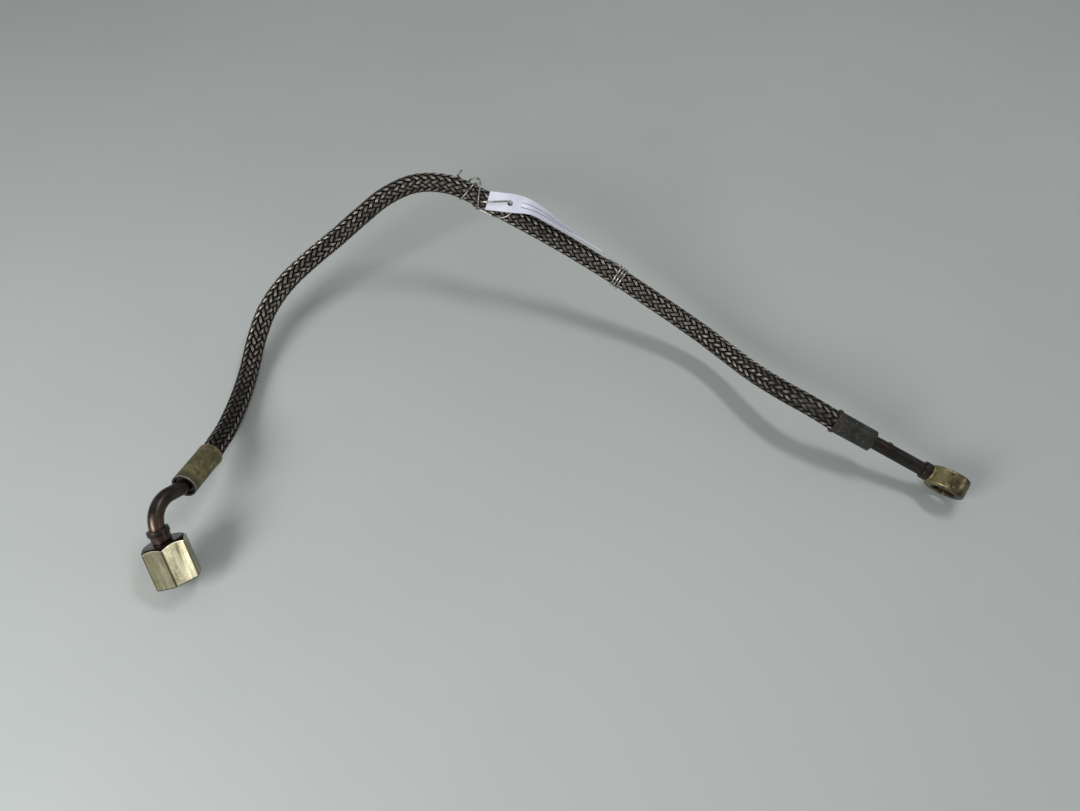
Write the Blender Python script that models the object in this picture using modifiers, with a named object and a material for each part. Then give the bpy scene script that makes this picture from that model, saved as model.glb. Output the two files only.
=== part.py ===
"""Braided fuel line with an elbow and union nut at one end and a banjo eye at the other.

It lies as it came to rest on a bench: on the rim of the nut, on the rim of the eye and on the
underside of the hose beside the elbow, with the rest of the stiff hose arched over the bench.
Lengths are written in millimetres and turned to metres by MM. Angles are in degrees.
"""

import math

import bmesh
import bpy
from mathutils import Matrix, Vector

MM = 0.001
CLEARANCE = 0.3
TURN_SIDES = 32
MARKER_SIZE = 10.0
TUBE_SIDES = 24

# Places on the bench are in bench units. The part's own origin is the bench point below.
BENCH_UNIT = 1.06
BENCH_ORIGIN = (15.351, 156.915, 0.0)

# Hose: a rubber liner under one layer of wire braid
HOSE_DIAMETER = 9.0
BRAID_WALL = 0.25
LINER_WALL = 1.5
CRIMP_FACTOR = 0.86
CRIMP_RAMP = 3.0
HOSE_STEP = 8.5

# Places and directions of the two ends
ELBOW_FERRULE_MOUTH = (-131.6, 172.0, 12.2)
ELBOW_FERRULE_AXIS = (-0.145, -0.927, 0.338)
BANJO_FERRULE_MOUTH = (121.2, 194.8, 19.22)
STUB_AXIS = (0.883, -0.422, -0.206)
EYE_AXIS = (-0.468, -0.755, -0.463)
NUT_FACE = (-136.548, 130.557, 17.421)
NUT_AXIS = (-0.327, 0.6095, 0.7222)
NUT_CORNER = (0.3161, -0.6496, 0.6914)

# The hose between its two ferrule mouths, point by point along its middle
HOSE_ROUTE = (
    (-131.3, 177.3, 10.6), (-130.8, 184.5, 8.2), (-130.5, 191.8, 6.4), (-130.1, 206.5, 4.48),
    (-129.8, 221.0, 4.83), (-128.6, 235.3, 9.6), (-124.6, 247.6, 16.4), (-116.7, 258.7, 22.9),
    (-106.8, 268.8, 27.8), (-96.0, 278.2, 32.5), (-85.0, 286.1, 38.9), (-73.3, 292.1, 46.1),
    (-59.7, 295.0, 51.4), (-44.9, 294.2, 52.2), (-30.8, 290.6, 48.6), (-17.4, 286.1, 43.8),
    (-3.9, 281.4, 39.2), (9.5, 276.1, 34.8), (22.6, 270.3, 30.4), (35.5, 264.2, 26.0),
    (48.3, 257.5, 21.7), (60.8, 250.3, 17.9), (72.8, 241.6, 15.4), (83.2, 230.9, 15.2),
    (92.4, 219.3, 17.3), (102.1, 208.3, 20.2), (111.2, 200.7, 21.2),
)

# Ferrules crimped over the hose, and the inserts inside them
FERRULE_WALL = 1.02
FERRULE_RECESS = 1.2
MOUTH_LIP = 0.15
MOUTH_LIP_LENGTH = 2.2
ELBOW_FERRULE_LENGTH = 21.9
BANJO_FERRULE_LENGTH = 18.4
BANJO_FERRULE_WALL = 0.76
BANJO_LIP = 0.42
BANJO_LIP_LENGTH = 1.8
INSERT_FLANGE = 2.5
INSERT_TAIL_RADIUS = 1.4
INSERT_BARB_HEIGHT = 0.2
INSERT_BARBS = 3
INSERT_BORE_RADIUS = 0.9
INSERT_SPIGOT_LENGTH = 3.0
INSERT_SPIGOT_RADIUS = 1.6

# Steel tube of the elbow and of the stub
TUBE_DIAMETER = 6.0
TUBE_WALL = 1.0
ELBOW_KICK_OFFSET = 0.27
ELBOW_KICK_RADIUS = 3.6
ELBOW_CORNER_RISE = 15.1
ELBOW_BEND_RADIUS = 11.0

# Union nut, its stop collar and the sealing nipple inside it
NUT_ACROSS_FLATS = 16.0
NUT_LENGTH = 17.0
NUT_THREAD_RADIUS = 5.2
NUT_MOUTH_RADIUS = 6.2
NUT_MOUTH_DEPTH = 1.0
NUT_BACK_WALL = 3.2
NUT_BACK_CHAMFER_RADIUS = 7.45
NUT_BACK_CHAMFER_ANGLE = 39.0
NUT_OPEN_CHAMFER_RADIUS = 8.75
NUT_OPEN_CHAMFER_ANGLE = 30.0
NIPPLE_RADIUS = 4.8
NIPPLE_PLAIN_END = 8.0
NIPPLE_FRONT = 10.2
NIPPLE_FRONT_RADIUS = 3.6
NIPPLE_LAND = 0.8
NIPPLE_SOCKET_DEPTH = 8.6
COLLAR_SLEEVE_RADIUS = 3.8
COLLAR_SLEEVE_LENGTH = 2.9
COLLAR_FLANGE_RADIUS = 4.3
COLLAR_FLANGE_LENGTH = 2.3

# Banjo eye and the brazed collar at its neck
STUB_LENGTH = 24.1
BRAZE_RADIUS = 3.9
BRAZE_LENGTH = 2.8
EYE_DIAMETER = 17.0
EYE_THICKNESS = 8.5
EYE_HOLE_DIAMETER = 10.0
EYE_EDGE = 0.6
EYE_HOLE_EDGE = 0.4
EYE_GROOVE_DEPTH = 0.6
EYE_GROOVE_WIDTH = 3.0
EYE_END_FLAT = 0.35
EYE_NECK_RADIUS = 4.1
EYE_NECK_LENGTH = 5.2
EYE_SOCKET_DEPTH = 2.0
EYE_NECK_REACH = 0.1

# Thin wire ties and the paper tag that they hold
TIE_DIAMETER = 0.8
TIE_TURN_STEP = 25.0
TIE_RUN_STEP = 2.0
LOWER_TIE_TURNS = 3
LOWER_TIE_START = 271.6
LOWER_TIE_PITCH = 1.45
TAG_WIDTH = 8.8
TAG_THICKNESS = 0.25
TAG_HOLE_RADIUS = 1.35
TAG_HOLE_AT = 214.0
TAG_STEP = 3.0

# Each stop of a wire is the distance along the hose from the elbow ferrule's mouth in bench
# units, the angle round the hose from straight up towards the far side, and how far the wire
# stands off its seat on the braid.
UPPER_TIE_STOPS = (
    (189.0, 42, 3.3), (187.9, 46, 0.3), (189.6, 92, 0.0), (190.6, 132, 0.0), (191.6, 190, 0.0),
    (192.4, 226, 0.0), (193.4, 267, 0.0), (194.7, 312, 0.0), (195.9, 372, 0.3),
    (196.5, 422, 0.2), (197.1, 492, 0.0), (199.2, 576, 0.0), (201.4, 617, 0.0),
    (200.8, 652, 0.0), (199.4, 702, 0.2), (198.2, 742, 1.4), (196.4, 764, 2.5),
    (194.0, 774, 1.6), (192.9, 790, 0.4), (194.5, 822, 0.3), (196.5, 862, 0.9),
    (198.5, 892, 1.3), (200.5, 920, 0.8), (202.2, 940, 0.2), (205.0, 948, 0.05),
    (209.0, 958, 0.0), (212.6, 985, 0.0), (215.2, 1015, 0.0), (216.3, 1045, 0.1),
    (216.2, 1064, 0.8), (215.2, 1071, 1.8), (214.0, 1071, 2.5), (212.6, 1069, 3.2),
    (209.0, 1054, 2.2), (205.0, 1033, 1.3), (203.0, 1024.5, 0.9),
)
LOWER_TIE_LEAD = ((264.1, 30, 0.0), (267.8, 37, 0.05), (270.4, 42, 0.3))
LOWER_TIE_TURN = ((0.0, 25, 0.1), (-0.1, -45, 0.0), (-0.1, -135, 0.0), (0.6, -225, 0.0))

# Each stop of the tag is the distance along the hose in bench units, the height over the hose's
# middle and the distance behind it, both in hose radii, and the lean of the tag's width from
# straight up towards the far side.
TAG_STOPS = (
    (204.5, 0.93, -0.83, 51), (208.5, 1.26, -0.57, 50), (214.0, 1.68, -0.26, 54),
    (220.5, 1.92, 0.21, 78), (227.5, 1.94, 0.45, 100), (237.5, 1.72, 0.50, 116),
    (249.5, 1.43, 0.68, 129), (260.5, 1.25, 0.78, 136),
)

HOSE_RADIUS = HOSE_DIAMETER / 2
EYE_CENTRE_FROM_NECK = EYE_DIAMETER / 2 + EYE_NECK_REACH
CRIMPED_RADIUS = HOSE_RADIUS * CRIMP_FACTOR
LINER_RADIUS = HOSE_RADIUS - BRAID_WALL - CLEARANCE - 0.05
FERRULE_BORE = CRIMPED_RADIUS + CLEARANCE
TUBE_RADIUS = TUBE_DIAMETER / 2
TUBE_SEAT_RADIUS = TUBE_RADIUS + CLEARANCE
TIE_SEAT_RADIUS = HOSE_RADIUS + CLEARANCE + TIE_DIAMETER / 2 + 0.05


def bench(place):
    """A place on the bench, in the part's own frame and in metres."""
    return (Vector(place) - Vector(BENCH_ORIGIN)) * BENCH_UNIT * MM


def along(origin, axis, distance):
    """The point at a distance in millimetres from origin along axis."""
    return origin + axis * (distance * MM)


ELBOW_MOUTH = bench(ELBOW_FERRULE_MOUTH)
ELBOW_AXIS = Vector(ELBOW_FERRULE_AXIS).normalized()
BANJO_MOUTH = bench(BANJO_FERRULE_MOUTH)
BANJO_AXIS = Vector(STUB_AXIS).normalized()
NUT_ORIGIN = bench(NUT_FACE)
NUT_DIRECTION = Vector(NUT_AXIS).normalized()


def clear_scene():
    """Remove what the file opened with."""
    for existing in list(bpy.data.objects):
        bpy.data.objects.remove(existing, do_unlink=True)


def collection(name):
    """A new collection in the scene."""
    made = bpy.data.collections.new(name)
    bpy.context.scene.collection.children.link(made)
    return made


def paint(name, colour, roughness, metallic):
    """A plain material of one finish."""
    made = bpy.data.materials.new(name)
    made.use_nodes = True
    shader = made.node_tree.nodes["Principled BSDF"]
    shader.inputs["Base Color"].default_value = (*colour, 1.0)
    shader.inputs["Roughness"].default_value = roughness
    shader.inputs["Metallic"].default_value = metallic
    return made


def axis_empty(name, origin, z_axis, y_hint, home):
    """An empty at origin with +Z along z_axis and +Y as near y_hint as it can be."""
    z_side = z_axis.normalized()
    x_side = Vector(y_hint).cross(z_side).normalized()
    y_side = z_side.cross(x_side)
    turn = Matrix((x_side, y_side, z_side)).transposed()
    empty = bpy.data.objects.new(name, None)
    empty.location = origin
    empty.rotation_euler = turn.to_euler()
    empty.empty_display_size = MARKER_SIZE * MM
    home.objects.link(empty)
    return empty


def place(shape, home, material=None, parent=None):
    """Put an object in its collection, under its parent, with its material."""
    home.objects.link(shape)
    shape.parent = parent
    if material:
        shape.data.materials.append(material)
    return shape


def smooth(mesh):
    """Smooth shading that keeps the turned edges crisp."""
    mesh.shade_smooth()
    mesh.set_sharp_from_angle(angle=math.radians(35))


def plain_mesh(shape):
    """Turn an object's modifiers or curve into a mesh of its own, and return that mesh."""
    bpy.context.view_layer.update()
    seen = shape.evaluated_get(bpy.context.evaluated_depsgraph_get())
    return bpy.data.meshes.new_from_object(seen)


def turned(name, profile, home, material=None, parent=None, sides=TURN_SIDES):
    """A turned piece. The profile of (radius, height) runs down its outer side."""
    on_axis = profile[0][0] == 0
    count = len(profile)
    edges = [(i, i + 1) for i in range(count - 1)]
    if not on_axis:
        edges.append((count - 1, 0))
    outline = bpy.data.meshes.new(name)
    outline.from_pydata([(r * MM, 0.0, z * MM) for r, z in profile], edges, [])
    lathe = bpy.data.objects.new(name + "_profile", outline)
    home.objects.link(lathe)
    screw = lathe.modifiers.new("turn", "SCREW")
    screw.steps = sides
    screw.render_steps = sides
    screw.use_merge_vertices = True
    screw.merge_threshold = 0.00001
    mesh = plain_mesh(lathe)
    bpy.data.objects.remove(lathe, do_unlink=True)
    mesh.name = name
    smooth(mesh)
    return place(bpy.data.objects.new(name, mesh), home, material, parent)


def as_cutter(shape):
    """Mark an object as a tool that only cuts or joins."""
    shape.hide_render = True
    shape.display_type = "WIRE"
    return shape


def combine(target, tool, operation):
    """Cut, join or trim the target with a tool."""
    step = target.modifiers.new(tool.name, "BOOLEAN")
    step.operation = operation
    step.solver = "EXACT"
    step.object = as_cutter(tool)


def swept(name, points, radius, home, radii=None, caps=True, resolution=4):
    """A round bar along points, as a mesh. Radii are factors on the radius."""
    curve = bpy.data.curves.new(name, "CURVE")
    curve.dimensions = "3D"
    curve.bevel_depth = radius * MM
    curve.bevel_resolution = resolution
    curve.use_fill_caps = caps
    spline = curve.splines.new("POLY")
    spline.points.add(len(points) - 1)
    for index, point in enumerate(points):
        spline.points[index].co = (*point, 1.0)
        if radii:
            spline.points[index].radius = radii[index]
    bar = bpy.data.objects.new(name + "_curve", curve)
    home.objects.link(bar)
    mesh = plain_mesh(bar)
    bpy.data.objects.remove(bar, do_unlink=True)
    weld = bmesh.new()
    weld.from_mesh(mesh)
    bmesh.ops.remove_doubles(weld, verts=weld.verts, dist=0.00001)
    weld.to_mesh(mesh)
    weld.free()
    mesh.name = name
    smooth(mesh)
    return bpy.data.objects.new(name, mesh)


def pipe(name, points, radius, wall, home, material, radii=None, resolution=4):
    """A hollow round tube along points, open at both ends."""
    shape = swept(name, points, radius, home, radii, caps=False, resolution=resolution)
    shell = shape.modifiers.new("wall", "SOLIDIFY")
    shell.thickness = wall * MM
    shell.offset = -1.0
    shell.use_even_offset = True
    return place(shape, home, material)


def spline_through(points, parts):
    """Points on a smooth curve through the given points, each span cut into parts."""
    first = points[0] * 2 - points[1]
    last = points[-1] * 2 - points[-2]
    ends = [first, *points, last]
    curve = []
    for index in range(1, len(ends) - 2):
        before, here, there, after = ends[index - 1:index + 3]
        for part in range(parts):
            t = part / parts
            pull = (there - before) * t
            bow = (before * 2 - here * 5 + there * 4 - after) * t * t
            lift = (here * 3 - before - there * 3 + after) * t ** 3
            curve.append((here * 2 + pull + bow + lift) / 2)
    curve.append(ends[-2])
    return curve


def running_lengths(points):
    """Distance along a line of points, from its first."""
    lengths = [0.0]
    for before, here in zip(points, points[1:]):
        lengths.append(lengths[-1] + (here - before).length)
    return lengths


def at_length(points, lengths, distance):
    """The point and direction at a distance along a line of points."""
    index = 1
    while index < len(points) - 1 and lengths[index] < distance:
        index += 1
    span = lengths[index] - lengths[index - 1]
    share = (distance - lengths[index - 1]) / span
    heading = (points[index] - points[index - 1]).normalized()
    return points[index - 1].lerp(points[index], share), heading


def hose_end(length):
    """How deep the hose reaches into a ferrule of this length."""
    return length - FERRULE_RECESS - INSERT_FLANGE - CLEARANCE


def free_hose():
    """The hose's middle between the two ferrule mouths, as a fine line of points."""
    lead_in = along(ELBOW_MOUTH, ELBOW_AXIS, CRIMP_RAMP)
    lead_out = along(BANJO_MOUTH, BANJO_AXIS, CRIMP_RAMP)
    route = [lead_in, ELBOW_MOUTH, *[bench(p) for p in HOSE_ROUTE], BANJO_MOUTH, lead_out]
    parts = 10
    return spline_through(route, parts)[parts:-parts]


FREE_HOSE = free_hose()
FREE_LENGTHS = running_lengths(FREE_HOSE)


def hose_points():
    """The hose's points from end to end, and the factor on its radius at each."""
    free_length = FREE_LENGTHS[-1]
    steps = round(free_length / (HOSE_STEP * MM))
    left_end = hose_end(ELBOW_FERRULE_LENGTH)
    right_end = hose_end(BANJO_FERRULE_LENGTH)
    points = [along(ELBOW_MOUTH, ELBOW_AXIS, d) for d in (left_end, CRIMP_RAMP)]
    for step in range(steps + 1):
        point, _ = at_length(FREE_HOSE, FREE_LENGTHS, free_length * step / steps)
        points.append(point)
    points += [along(BANJO_MOUTH, BANJO_AXIS, d) for d in (CRIMP_RAMP, right_end)]
    radii = [CRIMP_FACTOR] * 2 + [1.0] * (steps + 1) + [CRIMP_FACTOR] * 2
    return points, radii


def beside_hose(distance, rise, back):
    """A point over and behind the hose's middle, at a distance from the elbow ferrule."""
    centre, heading = at_length(FREE_HOSE, FREE_LENGTHS, distance * BENCH_UNIT * MM)
    up = (Vector((0, 0, 1)) - heading * heading.z).normalized()
    behind = up.cross(heading)
    return centre + up * (rise * MM) + behind * (back * MM)


def round_hose(distance, angle, stand_off):
    """A point at an angle round the hose, as far off the braid as a wire's middle runs."""
    turn = math.radians(angle)
    radius = TIE_SEAT_RADIUS + stand_off
    return beside_hose(distance, radius * math.cos(turn), radius * math.sin(turn))


def bent_line(corners, radii, steps=7):
    """A line through corners, each inner corner rounded to its radius in millimetres."""
    line = [corners[0]]
    for index, radius in enumerate(radii, start=1):
        corner = corners[index]
        arrive = (corner - corners[index - 1]).normalized()
        leave = (corners[index + 1] - corner).normalized()
        bend = arrive.angle(leave)
        reach = radius * MM * math.tan(bend / 2)
        start = corner - arrive * reach
        inward = (leave - arrive * arrive.dot(leave)).normalized()
        centre = start + inward * (radius * MM)
        for step in range(steps + 1):
            turn = bend * step / steps
            arm = arrive * math.sin(turn) - inward * math.cos(turn)
            line.append(centre + arm * (radius * MM))
    line.append(corners[-1])
    return line


def wire_line(stops):
    """Points along a wire wound round the hose through its stops."""
    line = []
    path = [Vector(stop) for stop in stops]
    first = path[0] * 2 - path[1]
    last = path[-1] * 2 - path[-2]
    ends = [first, *path, last]
    for index in range(1, len(ends) - 2):
        span = ends[index + 1] - ends[index]
        parts = max(1, math.ceil(abs(span.y) / TIE_TURN_STEP), math.ceil(abs(span.x) / TIE_RUN_STEP))
        section = spline_through(ends[index - 1:index + 3], parts)[parts:2 * parts]
        line += [round_hose(*stop) for stop in section]
    line.append(round_hose(*path[-1]))
    return line


def insert_profile(length):
    """Barbed hose insert: tail in the liner, flange at the hose's end, spigot in the tube."""
    flange_end = length - FERRULE_RECESS
    flange_start = flange_end - INSERT_FLANGE
    tip = flange_end + INSERT_SPIGOT_LENGTH
    tail = CRIMP_RAMP
    barb = (flange_start - tail) / INSERT_BARBS
    profile = [
        (INSERT_SPIGOT_RADIUS, tip),
        (INSERT_SPIGOT_RADIUS, flange_end),
        (CRIMPED_RADIUS, flange_end),
        (CRIMPED_RADIUS, flange_start),
        (INSERT_TAIL_RADIUS, flange_start),
    ]
    for index in range(INSERT_BARBS):
        foot = flange_start - barb * (index + 1)
        profile.append((INSERT_TAIL_RADIUS, foot + barb * 0.7))
        profile.append((INSERT_TAIL_RADIUS + INSERT_BARB_HEIGHT, foot + barb * 0.6))
        profile.append((INSERT_TAIL_RADIUS, foot))
    profile += [(INSERT_BORE_RADIUS, tail), (INSERT_BORE_RADIUS, tip)]
    return profile


def ferrule_profile(length, outer, lip, lip_length, taper):
    """Crimped ferrule, from its far end down to its belled mouth."""
    edge = 0.35
    return [
        (outer - taper - edge, length),
        (outer - taper, length - edge),
        (outer, lip_length * 1.6),
        (outer + lip, lip_length),
        (outer + lip, edge),
        (outer + lip - edge, 0.0),
        (HOSE_RADIUS + CLEARANCE, 0.0),
        (FERRULE_BORE, CRIMP_RAMP),
        (FERRULE_BORE, length),
    ]


def elbow_end(home, axis):
    """Ferrule and insert of the elbow end."""
    zinc = paint("yellow_zinc", (0.19, 0.15, 0.06), 0.45, 0.9)
    steel = paint("dark_steel", (0.09, 0.07, 0.06), 0.5, 0.9)
    outer = FERRULE_BORE + FERRULE_WALL
    profile = ferrule_profile(ELBOW_FERRULE_LENGTH, outer, MOUTH_LIP, MOUTH_LIP_LENGTH, 0.0)
    turned("elbow_ferrule", profile, home, zinc, axis)
    profile = insert_profile(ELBOW_FERRULE_LENGTH)
    turned("elbow_insert", profile, home, steel, axis, TUBE_SIDES)


def elbow(home):
    """Bent steel tube from the ferrule down into the union nut."""
    brown = paint("browned_steel", (0.07, 0.05, 0.04), 0.4, 0.9)
    start = along(ELBOW_MOUTH, ELBOW_AXIS, ELBOW_FERRULE_LENGTH - FERRULE_RECESS + CLEARANCE)
    kick = along(ELBOW_MOUTH, ELBOW_AXIS, ELBOW_FERRULE_LENGTH + ELBOW_KICK_OFFSET)
    corner = along(NUT_ORIGIN, NUT_DIRECTION, ELBOW_CORNER_RISE)
    end = along(NUT_ORIGIN, NUT_DIRECTION, CLEARANCE - NIPPLE_SOCKET_DEPTH)
    line = bent_line([start, kick, corner, end], [ELBOW_KICK_RADIUS, ELBOW_BEND_RADIUS])
    pipe("elbow_tube", line, TUBE_RADIUS, TUBE_WALL, home, brown, resolution=6)


def nut_chamfer_profile():
    """The turned form that takes the corners off both ends of the hexagon."""
    corner = NUT_ACROSS_FLATS / math.sqrt(3) + 1.0
    back_drop = (corner - NUT_BACK_CHAMFER_RADIUS) * math.tan(math.radians(NUT_BACK_CHAMFER_ANGLE))
    open_rise = (corner - NUT_OPEN_CHAMFER_RADIUS) * math.tan(math.radians(NUT_OPEN_CHAMFER_ANGLE))
    return [
        (0, 0.0),
        (NUT_BACK_CHAMFER_RADIUS, 0.0),
        (corner, -back_drop),
        (corner, open_rise - NUT_LENGTH),
        (NUT_OPEN_CHAMFER_RADIUS, -NUT_LENGTH),
        (0, -NUT_LENGTH),
    ]


def union_nut(home, tools, axis):
    """Hexagon union nut, drilled for the tube and bored for the mating thread."""
    zinc = paint("pale_zinc", (0.35, 0.32, 0.2), 0.35, 0.9)
    beyond = 2.0
    prism = bmesh.new()
    bmesh.ops.create_cone(
        prism,
        cap_ends=True,
        segments=6,
        radius1=NUT_ACROSS_FLATS / math.sqrt(3) * MM,
        radius2=NUT_ACROSS_FLATS / math.sqrt(3) * MM,
        depth=(NUT_LENGTH + 2 * beyond) * MM,
        matrix=Matrix.Translation((0, 0, -NUT_LENGTH / 2 * MM)),
    )
    mesh = bpy.data.meshes.new("union_nut")
    prism.to_mesh(mesh)
    prism.free()
    nut = place(bpy.data.objects.new("union_nut", mesh), home, zinc, axis)
    chamfer = turned("nut_chamfer", nut_chamfer_profile(), tools, None, axis, 48)
    combine(nut, chamfer, "INTERSECT")
    cone_end = NUT_BACK_WALL + NUT_THREAD_RADIUS - TUBE_SEAT_RADIUS
    bore = [
        (0, beyond),
        (TUBE_SEAT_RADIUS, beyond),
        (TUBE_SEAT_RADIUS, -NUT_BACK_WALL),
        (NUT_THREAD_RADIUS, -cone_end),
        (NUT_THREAD_RADIUS, NUT_MOUTH_DEPTH - NUT_LENGTH),
        (NUT_MOUTH_RADIUS, -NUT_LENGTH),
        (NUT_MOUTH_RADIUS, -NUT_LENGTH - beyond),
        (0, -NUT_LENGTH - beyond),
    ]
    combine(nut, turned("nut_bore", bore, tools, None, axis), "DIFFERENCE")


def nipple(home, axis):
    """Sealing nipple on the tube's end, its shoulder parallel to the nut's."""
    steel = paint("nipple_steel", (0.2, 0.19, 0.17), 0.4, 0.9)
    gap = CLEARANCE * math.sqrt(2)
    back = NUT_BACK_WALL + gap + NIPPLE_LAND - CLEARANCE
    cone_end = NUT_BACK_WALL + gap + NIPPLE_RADIUS - TUBE_SEAT_RADIUS
    back_radius = TUBE_SEAT_RADIUS + back - NUT_BACK_WALL - gap
    bore = TUBE_RADIUS - TUBE_WALL
    profile = [
        (back_radius, -back),
        (NIPPLE_RADIUS, -cone_end),
        (NIPPLE_RADIUS, -NIPPLE_PLAIN_END),
        (NIPPLE_FRONT_RADIUS, -NIPPLE_FRONT),
        (bore, -NIPPLE_FRONT),
        (bore, -NIPPLE_SOCKET_DEPTH),
        (TUBE_SEAT_RADIUS, -NIPPLE_SOCKET_DEPTH),
        (TUBE_SEAT_RADIUS, -back),
    ]
    turned("sealing_nipple", profile, home, steel, axis)


def stop_collar(home, axis):
    """Collar on the tube that keeps the nut down on its nipple."""
    steel = paint("collar_steel", (0.08, 0.06, 0.05), 0.45, 0.9)
    edge = 0.3
    foot = CLEARANCE
    step = foot + COLLAR_SLEEVE_LENGTH
    top = step + COLLAR_FLANGE_LENGTH
    profile = [
        (COLLAR_FLANGE_RADIUS - edge, top),
        (COLLAR_FLANGE_RADIUS, top - edge),
        (COLLAR_FLANGE_RADIUS, step + edge),
        (COLLAR_FLANGE_RADIUS - edge, step),
        (COLLAR_SLEEVE_RADIUS, step),
        (COLLAR_SLEEVE_RADIUS, foot),
        (TUBE_SEAT_RADIUS, foot),
        (TUBE_SEAT_RADIUS, top),
    ]
    turned("nut_stop_collar", profile, home, steel, axis)


def banjo_end(home, axis):
    """Ferrule, insert, stub tube and brazed collar of the banjo end."""
    rusty = paint("rusty_steel", (0.05, 0.045, 0.04), 0.65, 0.7)
    dark = paint("black_steel", (0.03, 0.025, 0.02), 0.5, 0.8)
    outer = FERRULE_BORE + BANJO_FERRULE_WALL
    profile = ferrule_profile(BANJO_FERRULE_LENGTH, outer, BANJO_LIP, BANJO_LIP_LENGTH, 0.12)
    turned("banjo_ferrule", profile, home, rusty, axis)
    turned("banjo_insert", insert_profile(BANJO_FERRULE_LENGTH), home, dark, axis, TUBE_SIDES)
    start = BANJO_FERRULE_LENGTH - FERRULE_RECESS + CLEARANCE
    collar = BANJO_FERRULE_LENGTH + STUB_LENGTH
    neck = collar + BRAZE_LENGTH + CLEARANCE
    end = neck + EYE_SOCKET_DEPTH - CLEARANCE
    bore = TUBE_RADIUS - TUBE_WALL
    tube = [(TUBE_RADIUS, end), (TUBE_RADIUS, start), (bore, start), (bore, end)]
    turned("stub_tube", tube, home, dark, axis)
    edge = 0.3
    ring = [
        (BRAZE_RADIUS, collar + BRAZE_LENGTH),
        (BRAZE_RADIUS, collar + edge),
        (BRAZE_RADIUS - edge, collar),
        (TUBE_SEAT_RADIUS, collar),
        (TUBE_SEAT_RADIUS, collar + BRAZE_LENGTH),
    ]
    turned("brazed_collar", ring, home, dark, axis)
    return neck


def banjo_eye(home, tools, axis, neck):
    """Eye for the hollow bolt: ring, neck, tube socket and the passage to the hole."""
    brass = paint("yellow_passivated_eye", (0.25, 0.2, 0.08), 0.4, 0.9)
    half = EYE_THICKNESS / 2
    rim = EYE_DIAMETER / 2
    hole = EYE_HOLE_DIAMETER / 2
    centre = neck + EYE_CENTRE_FROM_NECK
    disc = [
        (0, half), (rim - EYE_EDGE, half), (rim, half - EYE_EDGE),
        (rim, EYE_EDGE - half), (rim - EYE_EDGE, -half), (0, -half),
    ]
    eye = turned("banjo_eye", disc, home, brass, axis, 40)
    eye.location = (0, 0, centre * MM)
    eye.rotation_euler = (0, math.radians(90), 0)

    throat = [
        (0, neck + EYE_NECK_LENGTH), (half - 0.05, neck + EYE_NECK_LENGTH),
        (EYE_NECK_RADIUS, neck + 0.4), (EYE_NECK_RADIUS - 0.3, neck), (0, neck),
    ]
    combine(eye, turned("eye_neck", throat, tools, None, axis, TUBE_SIDES), "UNION")

    drill = half + 1.0
    groove = hole + EYE_GROOVE_DEPTH
    land = EYE_GROOVE_WIDTH / 2
    bore = [
        (0, drill), (hole + EYE_HOLE_EDGE, drill), (hole + EYE_HOLE_EDGE, half),
        (hole, half - EYE_HOLE_EDGE), (hole, land + EYE_GROOVE_DEPTH), (groove, land),
        (groove, -land), (hole, -land - EYE_GROOVE_DEPTH), (hole, EYE_HOLE_EDGE - half),
        (hole + EYE_HOLE_EDGE, -half), (hole + EYE_HOLE_EDGE, -drill), (0, -drill),
    ]
    cutter = turned("eye_hole", bore, tools, None, axis)
    cutter.location = eye.location
    cutter.rotation_euler = eye.rotation_euler
    combine(eye, cutter, "DIFFERENCE")

    passage = TUBE_RADIUS - TUBE_WALL
    socket = [
        (0, centre), (passage, centre), (passage, neck + EYE_SOCKET_DEPTH),
        (TUBE_SEAT_RADIUS, neck + EYE_SOCKET_DEPTH), (TUBE_SEAT_RADIUS, neck - 1.0),
        (0, neck - 1.0),
    ]
    combine(eye, turned("eye_socket", socket, tools, None, axis, TUBE_SIDES), "DIFFERENCE")

    block = bmesh.new()
    bmesh.ops.create_cube(block, size=EYE_DIAMETER * MM)
    mesh = bpy.data.meshes.new("eye_end_flat")
    block.to_mesh(mesh)
    block.free()
    flat = place(bpy.data.objects.new("eye_end_flat", mesh), tools, None, axis)
    flat.location = (0, 0, (centre + rim - EYE_END_FLAT + rim) * MM)
    combine(eye, flat, "DIFFERENCE")


def hose(home):
    """Rubber liner and wire braid, both along the same line."""
    rubber = paint("liner_rubber", (0.02, 0.02, 0.02), 0.8, 0.0)
    braid = paint("braid_wire", (0.2, 0.18, 0.15), 0.4, 0.9)
    points, radii = hose_points()
    pipe("wire_braid", points, HOSE_RADIUS, BRAID_WALL, home, braid, radii)
    pipe("hose_liner", points, LINER_RADIUS, LINER_WALL, home, rubber, radii, resolution=2)


def ties(home):
    """The two wires wound round the hose."""
    steel = paint("tie_wire", (0.3, 0.29, 0.27), 0.35, 0.9)
    radius = TIE_DIAMETER / 2
    upper = swept("tie_wire_upper", wire_line(UPPER_TIE_STOPS), radius, home, resolution=2)
    place(upper, home, steel)
    stops = list(LOWER_TIE_LEAD)
    for turn in range(LOWER_TIE_TURNS):
        start = LOWER_TIE_START + LOWER_TIE_PITCH * turn
        stops += [(start + ahead, angle - 360 * turn, off) for ahead, angle, off in LOWER_TIE_TURN]
    lower = swept("tie_wire_lower", wire_line(stops), radius, home, resolution=2)
    place(lower, home, steel)


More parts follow.
